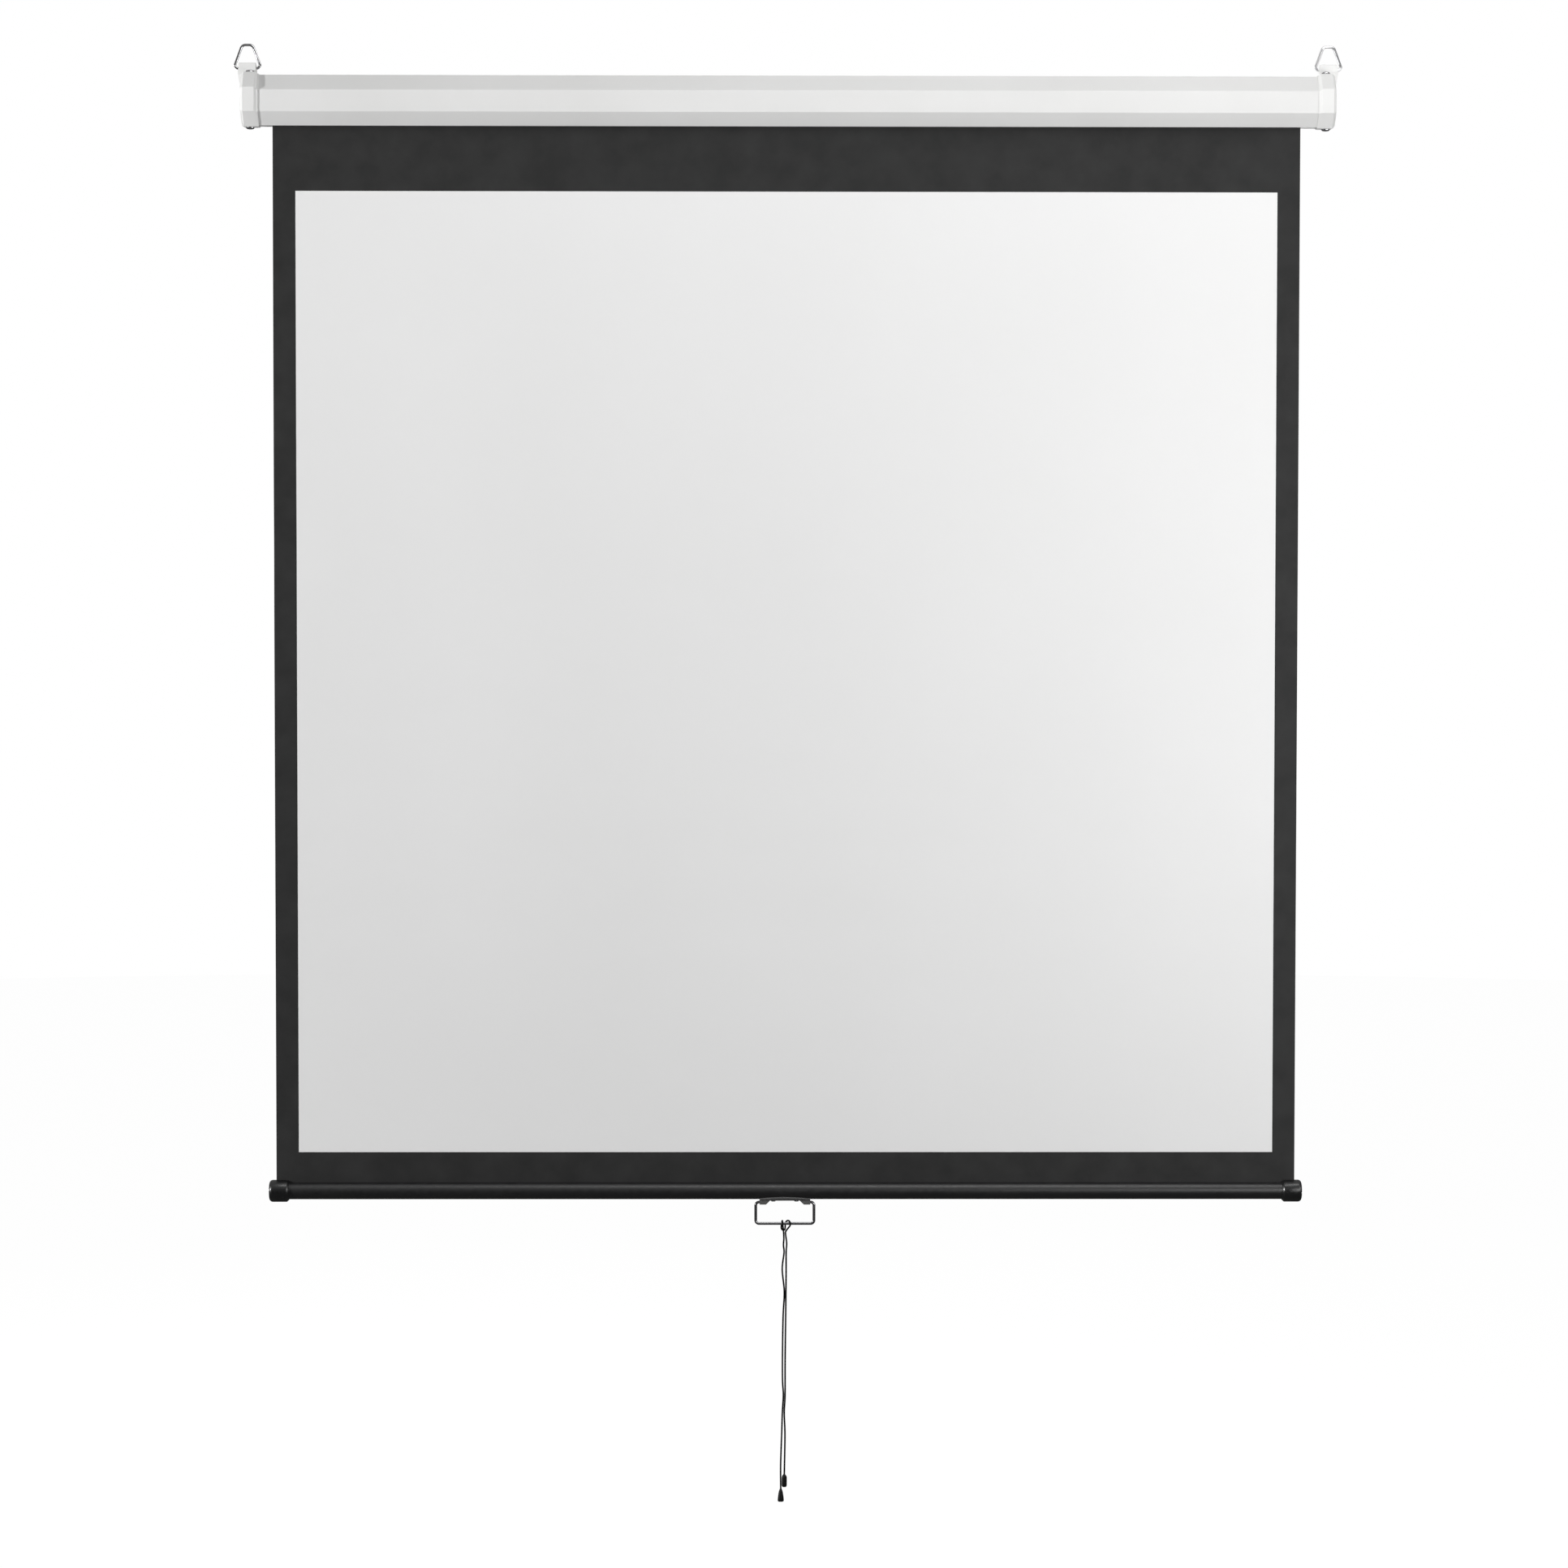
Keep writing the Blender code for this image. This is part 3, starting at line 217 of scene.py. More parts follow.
def pattern(material, kind, scale, stretch=(1, 1, 1), turn=0.0, source="Object", detail=3.0, **settings):
    """Output of a pattern on the piece's own coordinates, in metres unless it follows the UV map."""
    tree = material.node_tree
    coordinates = tree.nodes.new("ShaderNodeTexCoord")
    mapping = tree.nodes.new("ShaderNodeMapping")
    mapping.inputs["Scale"].default_value = stretch
    mapping.inputs["Rotation"].default_value = (0, 0, turn)
    made = tree.nodes.new("ShaderNodeTex" + kind)
    for key, value in settings.items():
        setattr(made, key, value)
    made.inputs["Scale"].default_value = scale
    if "Detail" in made.inputs:
        made.inputs["Detail"].default_value = detail
    tree.links.new(coordinates.outputs[source], mapping.inputs["Vector"])
    tree.links.new(mapping.outputs["Vector"], made.inputs["Vector"])
    return made.outputs["Distance"] if kind == "Voronoi" else made.outputs["Fac"]


def tint(material, source, dark, light, start=PATTERN_LOW, end=PATTERN_HIGH):
    """Colour that runs from dark to light with a pattern."""
    tree = material.node_tree
    ramp = tree.nodes.new("ShaderNodeValToRGB")
    ramp.color_ramp.elements[0].position = start
    ramp.color_ramp.elements[0].color = (*dark, 1)
    ramp.color_ramp.elements[1].position = end
    ramp.color_ramp.elements[1].color = (*light, 1)
    tree.links.new(source, ramp.inputs[0])
    tree.links.new(ramp.outputs[0], tree.nodes["Principled BSDF"].inputs["Base Color"])


def dull(material, source, low, high):
    """Roughness that runs from low to high with a pattern."""
    tree = material.node_tree
    span = ranged(tree, source, PATTERN_LOW, PATTERN_HIGH, low, high)
    tree.links.new(span, tree.nodes["Principled BSDF"].inputs["Roughness"])


def relief(material, source, height, strength=1.0):
    """Fine relief of that height in metres, laid on any relief the material has."""
    tree = material.node_tree
    normal = tree.nodes["Principled BSDF"].inputs["Normal"]
    bump = tree.nodes.new("ShaderNodeBump")
    bump.inputs["Strength"].default_value = strength
    bump.inputs["Distance"].default_value = height
    if normal.is_linked:
        tree.links.new(normal.links[0].from_socket, bump.inputs["Normal"])
    tree.links.new(source, bump.inputs["Height"])
    tree.links.new(bump.outputs[0], normal)


def worn(material, colour, width, share):
    """Edges rubbed to another colour, in patches: the rounded normal leaves the true one at an edge."""
    tree = material.node_tree
    base = tree.nodes["Principled BSDF"].inputs["Base Color"]
    soft = tree.nodes.new("ShaderNodeBevel")
    soft.inputs["Radius"].default_value = width
    true = tree.nodes.new("ShaderNodeNewGeometry")
    match = tree.nodes.new("ShaderNodeVectorMath")
    match.operation = "DOT_PRODUCT"
    tree.links.new(soft.outputs[0], match.inputs[0])
    tree.links.new(true.outputs["Normal"], match.inputs[1])
    edge = ranged(tree, match.outputs["Value"], EDGE_START, EDGE_FULL, 0, share)
    patches = reckoned(tree, "MULTIPLY", edge, pattern(material, "Noise", WEAR_PATCHES))
    mix = tree.nodes.new("ShaderNodeMixRGB")
    mix.inputs["Color2"].default_value = (*colour, 1)
    tree.links.new(patches, mix.inputs["Fac"])
    tree.links.new(base.links[0].from_socket, mix.inputs["Color1"])
    tree.links.new(mix.outputs[0], base)


def dress(material, *names):
    """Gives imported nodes, or pieces, that material all over."""
    for name in names:
        mesh = bpy.data.objects[name].data
        mesh.materials.clear()
        mesh.materials.append(material)
        mesh.polygons.foreach_set("material_index", [0] * len(mesh.polygons))


white_paint = finish("white powder paint", (0.81, 0.81, 0.8), 0.4, Coat_Weight=0.15, Coat_Roughness=0.25)
tint(white_paint, pattern(white_paint, "Noise", 5), (0.79, 0.79, 0.782), (0.83, 0.83, 0.824))
dull(white_paint, pattern(white_paint, "Noise", 40), 0.36, 0.46)
relief(white_paint, pattern(white_paint, "Noise", 620), 0.00004, 0.5)
worn(white_paint, (0.7, 0.7, 0.69), width=0.0012, share=0.5)
dress(white_paint, "case_shell")


# End caps: white mouldings pushed over the case's ends, each with a stepped rim, a chamfered
# outer edge and a lug on top for its hanging ring. Their edges get the small radius of a mould.

MM = 0.001
NODE_MERGE = 0.02 * MM
EDGE_SEGMENTS = 2
FLAT_WEIGHT = 80


def softened(name, node, width, angle=30):
    """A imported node's shape with its edges rounded: a merged copy of its loose triangles."""
    bpy.ops.object.select_all(action="DESELECT")
    made = nodes[node].copy()
    made.data = nodes[node].data.copy()
    made.name = name
    for key in list(made.keys()):
        if key.startswith("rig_"):
            del made[key]
    made.parent = None
    bpy.context.scene.collection.objects.link(made)
    made.select_set(True)
    bpy.context.view_layer.objects.active = made
    bpy.ops.object.mode_set(mode="EDIT")
    bpy.ops.mesh.select_all(action="SELECT")
    bpy.ops.mesh.remove_doubles(threshold=NODE_MERGE)
    bpy.ops.mesh.dissolve_limited(angle_limit=radians(1))
    bpy.ops.object.mode_set(mode="OBJECT")
    bevel = made.modifiers.new("Mould radius", "BEVEL")
    bevel.width = width
    bevel.segments = EDGE_SEGMENTS
    bevel.limit_method = "ANGLE"
    bevel.angle_limit = radians(angle)
    bevel.use_clamp_overlap = True
    bpy.ops.object.modifier_apply(modifier=bevel.name)
    bpy.ops.object.shade_smooth_by_angle(angle=radians(angle + 4))
    flat = made.modifiers.new("Flat faces", "WEIGHTED_NORMAL")
    flat.keep_sharp = True
    flat.weight = FLAT_WEIGHT
    bpy.ops.object.modifier_apply(modifier=flat.name)
    return made


white_plastic = finish("white moulded plastic", (0.84, 0.84, 0.83), 0.42)
tint(white_plastic, pattern(white_plastic, "Noise", 9), (0.82, 0.82, 0.81), (0.86, 0.86, 0.852))
dull(white_plastic, pattern(white_plastic, "Noise", 60), 0.38, 0.48)
relief(white_plastic, pattern(white_plastic, "Noise", 1400), 0.00003, 0.5)
worn(white_plastic, (0.72, 0.72, 0.7), width=0.0008, share=0.5)
for side in ("left", "right"):
    cap = softened(f"cap_{side}", f"end_cap_{side}", 0.25 * MM, angle=18)
    dress(white_plastic, cap.name)
    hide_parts(f"end_cap_{side}")
    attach(cap, "case")


# Cap screws: chrome pan head screws, one on top of and one below each cap, that fasten the cap
# to the bracket inside. One is turned from its profile and its cross recess cut, then copied.

POINT_MERGE = 0.005 * MM


def select_only(obj):
    """Makes that object the only selected one and the active one."""
    bpy.ops.object.select_all(action="DESELECT")
    obj.select_set(True)
    bpy.context.view_layer.objects.active = obj


def turned(name, profile, centre, axis, steps=48):
    """Profile of (along, radius) points spun round an axis through the centre."""
    along = Vector(axis).normalized()
    across = along.orthogonal().normalized()
    mesh = bpy.data.meshes.new(name)
    points = [Vector(centre) + along * height + across * radius for height, radius in profile]
    mesh.from_pydata([tuple(p) for p in points], [(i, i + 1) for i in range(len(points) - 1)], [])
    made = bpy.data.objects.new(name, mesh)
    bpy.context.scene.collection.objects.link(made)
    select_only(made)
    bpy.ops.object.mode_set(mode="EDIT")
    bpy.ops.mesh.select_all(action="SELECT")
    bpy.ops.mesh.spin(steps=steps, angle=2 * pi, center=centre, axis=tuple(along))
    bpy.ops.mesh.select_all(action="SELECT")
    bpy.ops.mesh.remove_doubles(threshold=POINT_MERGE)
    bpy.ops.mesh.normals_make_consistent(inside=False)
    bpy.ops.object.mode_set(mode="OBJECT")
    bpy.ops.object.shade_smooth_by_angle(angle=radians(32))
    return made


def cut(obj, tool):
    """Cuts the tool out of the object and removes the tool."""
    select_only(obj)
    boolean = obj.modifiers.new("Cut", "BOOLEAN")
    boolean.operation = "DIFFERENCE"
    boolean.solver = "EXACT"
    boolean.object = tool
    bpy.ops.object.modifier_apply(modifier=boolean.name)
    bpy.data.objects.remove(tool)


def plated(name, bright, roughness, low, high, scale=60):
    """Chrome plate of about that brightness, with a roughness from low to high."""
    plate = finish(name, (bright, bright, bright + 0.01), roughness, 1.0)
    darker, lighter = bright - 0.04, bright + 0.04
    tint(plate, pattern(plate, "Noise", scale),
         (darker, darker, darker + 0.01), (lighter, lighter, lighter + 0.01))
    dull(plate, pattern(plate, "Noise", 120), low, high)
    relief(plate, pattern(plate, "Noise", 160), 0.000004, 0.2)
    return plate


chrome = plated("bright chrome plate", 0.58, 0.14, 0.12, 0.2)
# A lighter copy of the same chrome for the right ring: its brighter colour is a painted reflection, and its
# higher roughness is a satin finish.
satin_chrome_painted_light = plated("satin chrome painted lighter for bright reflections", 0.82, 0.3, 0.3, 0.4)

SCREW_HEAD_RADIUS = 6.7 * MM
SCREW_HEAD_HEIGHT = 3.4 * MM
SCREW_SHANK_RADIUS = 2 * MM
SCREW_LENGTH = 9 * MM
SCREW_TIP_RADIUS = 0.6 * MM
SCREW_TIP_LENGTH = 0.8 * MM
HEAD_RIM = 0.25 * MM
HEAD_STEPS = 9
THREAD_TOP = -1.2 * MM
THREAD_PITCH = 0.7 * MM
THREAD_DEPTH = 0.35 * MM
RECESS_WIDTH = 6.4 * MM
RECESS_DEPTH = 1.8 * MM
RECESS_SLOT = 1.1 * MM
RECESS_TAPER = 0.55
RECESS_TURN = 20
screw_profile = [(-SCREW_LENGTH, 0), (-SCREW_LENGTH, SCREW_TIP_RADIUS)]
ridge = -SCREW_LENGTH + SCREW_TIP_LENGTH
while ridge < THREAD_TOP:
    screw_profile += [(ridge, SCREW_SHANK_RADIUS),
                      (ridge + THREAD_PITCH / 2, SCREW_SHANK_RADIUS - THREAD_DEPTH)]
    ridge += THREAD_PITCH
screw_profile += [(-0.3 * MM, SCREW_SHANK_RADIUS), (0, SCREW_SHANK_RADIUS + 0.2 * MM),
                  (0, SCREW_HEAD_RADIUS - 0.35 * MM), (HEAD_RIM, SCREW_HEAD_RADIUS)]
for step in range(1, HEAD_STEPS):
    turn = step / HEAD_STEPS * pi / 2
    screw_profile.append((HEAD_RIM + (SCREW_HEAD_HEIGHT - HEAD_RIM) * sin(turn),
                          SCREW_HEAD_RADIUS * cos(turn) ** 0.6))
screw_profile.append((SCREW_HEAD_HEIGHT, 0))
screw_model = turned("screw_model", screw_profile, (0, 0, 0), (0, 0, 1), steps=40)
for turn in (0, pi / 2):
    bpy.ops.object.select_all(action="DESELECT")
    bpy.ops.mesh.primitive_cube_add(size=1, location=(0, 0, SCREW_HEAD_HEIGHT))
    blade = bpy.context.object
    blade.scale = (RECESS_WIDTH, RECESS_SLOT, 2 * RECESS_DEPTH)
    blade.rotation_euler = (0, 0, turn + radians(RECESS_TURN))
    bpy.ops.object.transform_apply(location=True, rotation=True, scale=True)
    for vertex in blade.data.vertices:
        if vertex.co.z < SCREW_HEAD_HEIGHT:
            vertex.co.x *= RECESS_TAPER
            vertex.co.y *= RECESS_TAPER
    cut(screw_model, blade)
select_only(screw_model)
bpy.ops.object.shade_smooth_by_angle(angle=radians(32))
dress(chrome, screw_model.name)


def placed(model, name, matrix):
    """A copy of a model, with its own mesh, put in its place."""
    made = model.copy()
    made.data = model.data.copy()
    made.name = name
    made.data.transform(matrix)
    bpy.context.scene.collection.objects.link(made)
    return made


for side, up in (("left", 1), ("left", -1), ("right", 1), ("right", -1)):
    where = "top" if up > 0 else "bottom"
    node = f"cap_screw_{side}_{where}"
    low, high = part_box(node)
    middle = (low + high) / 2
    seat_z = high.z - SCREW_HEAD_HEIGHT if up > 0 else low.z + SCREW_HEAD_HEIGHT
    stand = Matrix.Translation((middle.x, middle.y, seat_z)) @ Matrix.Rotation(0 if up > 0 else pi, 4, "X")
    screw = placed(screw_model, f"screw_{side}_{where}", stand)
    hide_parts(node)
    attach(screw, "case")
bpy.data.objects.remove(screw_model)


# Hanging rings: chrome plated wire bent to a trapezoid, its two ends sprung into the sockets of
# the lug, where it hinges.

def rounded(corners, radii, steps=8):
    """Path with each inner corner rounded to its radius."""
    points = [Vector(corners[0])]
    for index in range(1, len(corners) - 1):
        before, here, after = (Vector(corners[i]) for i in (index - 1, index, index + 1))
        back, on = (before - here).normalized(), (after - here).normalized()
        half = back.angle(on) / 2
        reach = radii[index] / tan(half)
        centre = here + (back + on).normalized() * (radii[index] / sin(half))
        start = (here + back * reach - centre).normalized()
        end = (here + on * reach - centre).normalized()
        for step in range(steps + 1):
            points.append(centre + start.slerp(end, step / steps) * radii[index])
    points.append(Vector(corners[-1]))
    return points


def bent_wire(name, points, diameter, around=4):
    """Round wire along a path, its ends closed."""
    line = bpy.data.curves.new(name, "CURVE")
    line.dimensions = "3D"
    line.bevel_depth = diameter / 2
    line.bevel_resolution = around
    line.use_fill_caps = True
    spline = line.splines.new("POLY")
    spline.points.add(len(points) - 1)
    for knot, point in zip(spline.points, points):
        knot.co = (*point, 1)
    made = bpy.data.objects.new(name, line)
    bpy.context.scene.collection.objects.link(made)
    select_only(made)
    bpy.ops.object.convert(target="MESH")
    made = bpy.context.object
    bpy.ops.object.mode_set(mode="EDIT")
    bpy.ops.mesh.select_all(action="SELECT")
    bpy.ops.mesh.remove_doubles(threshold=POINT_MERGE)
    bpy.ops.mesh.normals_make_consistent(inside=False)
    bpy.ops.object.mode_set(mode="OBJECT")
    bpy.ops.object.shade_smooth_by_angle(angle=radians(40))
    return made


RING_WIRE = 4.2 * MM
RING_RISE = 35.9 * MM
RING_PIVOT_Z = RING_WIRE / 2 - RING_RISE
LUG_CENTRE = 837 * MM
ring_half = [(-9, 0, 0), (-15.8, 0, 0), (-19.7, 0, 4.2), (-8, 0, 35.9)]
ring_corners = ring_half + [(-x, y, z) for x, y, z in reversed(ring_half)]
ring_radii = [r * MM for r in (0, 2.4, 2.6, 7, 7, 2.6, 2.4, 0)]
ring_path = rounded([Vector(corner) * MM for corner in ring_corners], ring_radii)
ring_model = bent_wire("ring_model", ring_path, RING_WIRE, around=6)
# The right ring takes the chrome painted lighter, a painted reflection; the left ring keeps the plain
# chrome.
for side, sign, plate in (("left", -1, chrome), ("right", 1, satin_chrome_painted_light)):
    hinge = Matrix.Translation((sign * LUG_CENTRE, 0, RING_PIVOT_Z))
    ring = placed(ring_model, f"wire_ring_{side}", hinge)
    dress(plate, ring.name)
    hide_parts(f"hanging_ring_{side}")
    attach(ring, f"ring_{side}")
bpy.data.objects.remove(ring_model)


# Roller mechanism inside the case: pressed end brackets, the fixed spindle with its notched disc,
# the steel roller tube with its plugs, pins and pawls, and a nylon bush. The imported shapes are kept.

zinc_plate = finish("zinc plated steel", (0.6, 0.61, 0.62), 0.38, 1.0)
tint(zinc_plate, pattern(zinc_plate, "Voronoi", 130), (0.52, 0.53, 0.55), (0.66, 0.67, 0.68),
     start=0.0, end=0.9)
dull(zinc_plate, pattern(zinc_plate, "Noise", 220), 0.3, 0.48)
relief(zinc_plate, pattern(zinc_plate, "Noise", 800), 0.00002, 0.5)

die_cast = finish("raw cast zinc alloy", (0.5, 0.51, 0.53), 0.5, 1.0)
tint(die_cast, pattern(die_cast, "Noise", 140, detail=6), (0.42, 0.43, 0.45), (0.56, 0.57, 0.58))
dull(die_cast, pattern(die_cast, "Noise", 320), 0.42, 0.62)
relief(die_cast, pattern(die_cast, "Noise", 1100, detail=6), 0.00006, 0.7)

spring_steel = finish("oiled spring steel", (0.33, 0.33, 0.34), 0.34, 1.0, Coat_Weight=0.2)
tint(spring_steel, pattern(spring_steel, "Noise", 260), (0.26, 0.25, 0.25), (0.4, 0.4, 0.41))
dull(spring_steel, pattern(spring_steel, "Noise", 500), 0.26, 0.42)
relief(spring_steel, pattern(spring_steel, "Noise", 1500, (0.2, 1, 1)), 0.00002, 0.5)

nylon = finish("natural nylon", (0.78, 0.76, 0.7), 0.45, Subsurface_Weight=0.15, Subsurface_Scale=0.002)
tint(nylon, pattern(nylon, "Noise", 80), (0.75, 0.73, 0.66), (0.8, 0.78, 0.73))
dull(nylon, pattern(nylon, "Noise", 260), 0.4, 0.55)
relief(nylon, pattern(nylon, "Noise", 1200), 0.00003, 0.5)

dress(zinc_plate, "axle_bracket_left", "axle_bracket_right", "spring_spindle", "roller_tube",
      "idle_pin", "pawl_pin_upper", "pawl_pin_lower")
dress(die_cast, "notched_ratchet", "spring_collar", "spring_end_plug", "spring_anchor_plug")
dress(spring_steel, "pawl_upper", "pawl_lower")
dress(nylon, "idle_bush", "idle_end_plug")


# Torsion spring: spring steel wire coiled round the fixed spindle, one end held by the collar on
# it and the other by the anchor plug in the roller, which it turns to wind the cloth up.

ROLLER_Y = 2.7 * MM
ROLLER_Z = -83.6 * MM
SPRING_START = -777.7 * MM
SPRING_END = -640.3 * MM
SPRING_TAIL = 3 * MM
SPRING_TURNS = 32
SPRING_RADIUS = 8.2 * MM
SPRING_WIRE = 2.2 * MM
COIL_POINTS = 24
coil = [Vector((SPRING_START, ROLLER_Y + SPRING_RADIUS, ROLLER_Z))]
for step in range(SPRING_TURNS * COIL_POINTS + 1):
    turn = 2 * pi * step / COIL_POINTS
    share = step / (SPRING_TURNS * COIL_POINTS)
    along = SPRING_START + SPRING_TAIL + (SPRING_END - SPRING_START - 2 * SPRING_TAIL) * share
    coil.append(Vector((along, ROLLER_Y + SPRING_RADIUS * cos(turn), ROLLER_Z + SPRING_RADIUS * sin(turn))))
coil.append(Vector((SPRING_END, ROLLER_Y + SPRING_RADIUS, ROLLER_Z)))
spring = bent_wire("wound_torsion_spring", coil, SPRING_WIRE, around=2)
dress(spring_steel, spring.name)
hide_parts("torsion_spring")
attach(spring, "case")


# Projection cloth: matt white vinyl with a printed black border and a black woven back, hanging
# from the roller to its welded hem, with the faint slack of a free hanging sheet.

CLOTH_THICKNESS = 0.5 * MM
CLOTH_SHIFT = -2.4 * MM
CLOTH_Y = -13.75 * MM
HALF_WIDTH = 795 * MM
HALF_IMAGE = 760 * MM
CASE_BOTTOM_Z = -123.6 * MM
IMAGE_TOP_Z = -223.6 * MM
IMAGE_BOTTOM_Z = -1716.6 * MM
BAR_Z = -1777.3 * MM
BAR_RADIUS = 13.2 * MM
CLOTH_TOP_Z = ROLLER_Z - 0.3 * MM
HEM_NECK = 8.5 * MM
HEM_NECK_Z = BAR_Z + HEM_NECK
WAVE_HEIGHT = 0.6 * MM
EDGE_CURL = 1.6 * MM
DENT_DEPTH = 1.8 * MM
SET_HEIGHT = 0.8 * MM
STRAIGHT_STRETCH = 95 * MM
LOOSE_FROM = 450 * MM
LONG_WAVE = 640 * MM
SHORT_WAVE = 370 * MM
SET_LINES = 15
SET_FADE = 900 * MM
DENT_WIDTH = 60 * MM
DENT_FALL = 0.4
DENT_SPREAD = 0.035
CLOTH_COLUMNS = 96
CLOTH_ROWS = 104
STRIP_PARTS = 6

screen_white = finish("matt white screen surface", (0.86, 0.86, 0.86), 0.9, Specular_IOR_Level=0.25)
tint(screen_white, pattern(screen_white, "Noise", 3), (0.856, 0.856, 0.854), (0.868, 0.868, 0.867))
dull(screen_white, pattern(screen_white, "Noise", 30), 0.85, 0.95)
relief(screen_white, pattern(screen_white, "Noise", 1500), 0.00005, 0.5)
relief(screen_white, pattern(screen_white, "Wave", 420, bands_direction="X"), 0.00002, 0.3)
relief(screen_white, pattern(screen_white, "Wave", 420, bands_direction="Z"), 0.00002, 0.3)

border_black = finish("printed black border", (0.02, 0.02, 0.02), 0.66, Specular_IOR_Level=0.35)
tint(border_black, pattern(border_black, "Noise", 25), (0.015, 0.015, 0.015), (0.023, 0.023, 0.023))
dull(border_black, pattern(border_black, "Noise", 90), 0.65, 0.69)
relief(border_black, pattern(border_black, "Noise", 1500), 0.00005, 0.5)

backing = finish("black woven backing", (0.025, 0.025, 0.025), 0.82, Sheen_Weight=0.1, Sheen_Roughness=0.5)
tint(backing, pattern(backing, "Noise", 700), (0.018, 0.018, 0.018), (0.034, 0.034, 0.034))
dull(backing, pattern(backing, "Noise", 60), 0.75, 0.9)
relief(backing, pattern(backing, "Wave", 300, bands_direction="X"), 0.00012, 0.7)
relief(backing, pattern(backing, "Wave", 300, bands_direction="Z"), 0.00012, 0.7)


def thickened(obj, thickness, back_slot=0):
    """Gives a sheet its thickness about its middle; its back and edges can take another slot."""
    select_only(obj)
    solid = obj.modifiers.new("Sheet", "SOLIDIFY")
    solid.thickness = thickness
    solid.offset = 0
    solid.material_offset = back_slot
    solid.material_offset_rim = back_slot
    bpy.ops.object.modifier_apply(modifier=solid.name)
    bpy.ops.object.shade_smooth_by_angle(angle=radians(40))


def wave(x, z):
    """Depth of the slack at a place on the cloth: slow waves, a left edge that turns forwards, a dent
    in it, and lines across the lower part from being wound up. None at the case, and none in the
    last stretch above the bar, which the tube's slot takes in when the screen is up."""
    fall = (CASE_BOTTOM_Z - z) / (CASE_BOTTOM_Z - BAR_Z - BAR_RADIUS)
    loose = (z - BAR_Z - BAR_RADIUS - STRAIGHT_STRETCH) / LOOSE_FROM
    if fall <= 0 or loose <= 0:
        return 0.0
    loose = min(1, loose)
    hold = sin(pi * fall) ** 0.7 * loose * loose * (3 - 2 * loose)
    slow = sin(2 * pi * (x / LONG_WAVE + 0.15 + 0.22 * fall))
    slow += 0.6 * sin(2 * pi * (x / SHORT_WAVE - 0.3 * fall))
    left, right = max(0, -x / HALF_WIDTH) ** 9, max(0, x / HALF_WIDTH) ** 12
    wound_set = max(0, fall - 0.5) * 2 * sin(2 * pi * SET_LINES * fall)
    wound_set *= 0.7 + 0.3 * sin(2 * pi * (x / SET_FADE + 0.2))
    dent = exp(-((x + HALF_WIDTH) / DENT_WIDTH) ** 2 - ((fall - DENT_FALL) / DENT_SPREAD) ** 2)
    return hold * (WAVE_HEIGHT * slow + EDGE_CURL * (0.1 * right - left) + DENT_DEPTH * dent
                   + SET_HEIGHT * wound_set)


bpy.ops.object.select_all(action="DESELECT")
bpy.ops.mesh.primitive_grid_add(x_subdivisions=CLOTH_COLUMNS, y_subdivisions=CLOTH_ROWS, size=1)
cloth = bpy.context.object
cloth.name = "projection_cloth"
for vertex in cloth.data.vertices:
    across, down = vertex.co.x, vertex.co.y
    vertex.co = (2 * HALF_WIDTH * across, 0, HEM_NECK_Z + (CLOTH_TOP_Z - HEM_NECK_Z) * (down + 0.5))
bpy.ops.object.mode_set(mode="EDIT")
for point, normal in (((-HALF_IMAGE, 0, 0), (1, 0, 0)), ((HALF_IMAGE, 0, 0), (1, 0, 0)),
                      ((0, 0, IMAGE_TOP_Z), (0, 0, 1)), ((0, 0, IMAGE_BOTTOM_Z), (0, 0, 1)),
                      ((0, 0, CASE_BOTTOM_Z), (0, 0, 1)), ((0, 0, BAR_Z + BAR_RADIUS), (0, 0, 1))):
    bpy.ops.mesh.select_all(action="SELECT")
    bpy.ops.mesh.bisect(plane_co=point, plane_no=normal)
bpy.ops.object.mode_set(mode="OBJECT")
for material in (screen_white, border_black, backing, backing):
    cloth.data.materials.append(material)
for face in cloth.data.polygons:
    middle = face.center
    inside = abs(middle.x) < HALF_IMAGE and IMAGE_BOTTOM_Z < middle.z < IMAGE_TOP_Z
    face.material_index = 0 if inside else 1
for vertex in cloth.data.vertices:
    x, y, z = vertex.co
    vertex.co = (x + CLOTH_SHIFT, CLOTH_Y + wave(x, z), z)
thickened(cloth, CLOTH_THICKNESS, 2)


def strip(name, path, thickness):
    """A strip of the cloth's width that follows a path of (y, z) points."""
    mesh = bpy.data.meshes.new(name)
    start = CLOTH_SHIFT - HALF_WIDTH
    edges = [(i, i + 1) for i in range(len(path) - 1)]
    mesh.from_pydata([(start, y, z) for y, z in path], edges, [])
    made = bpy.data.objects.new(name, mesh)
    bpy.context.scene.collection.objects.link(made)
    select_only(made)
    bpy.ops.object.mode_set(mode="EDIT")
    bpy.ops.mesh.select_all(action="SELECT")
    part_width = 2 * HALF_WIDTH / STRIP_PARTS
    for _ in range(STRIP_PARTS):
        bpy.ops.mesh.extrude_region_move(TRANSFORM_OT_translate={"value": (part_width, 0, 0)})
    bpy.ops.mesh.select_all(action="SELECT")
    bpy.ops.mesh.normals_make_consistent(inside=False)
    bpy.ops.object.mode_set(mode="OBJECT")
    thickened(made, thickness)
    return made


HEM_RADIUS = 3.55 * MM
HEM_STEPS = 28
HEM_END = (0.95 * MM, 7.3 * MM)
hem_reach = acos(HEM_RADIUS / HEM_NECK)
hem_path = [(CLOTH_Y + HEM_END[0], BAR_Z + HEM_END[1])]
for step in range(HEM_STEPS + 1):
    angle = pi / 2 - hem_reach - (2 * pi - 2 * hem_reach) * step / HEM_STEPS
    hem_path.append((CLOTH_Y + HEM_RADIUS * cos(angle), BAR_Z + HEM_RADIUS * sin(angle)))
hem_path.append((CLOTH_Y, HEM_NECK_Z))
hem = strip("cloth_hem", hem_path, CLOTH_THICKNESS)
dress(border_black, hem.name)
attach(hem, "bottom_bar")

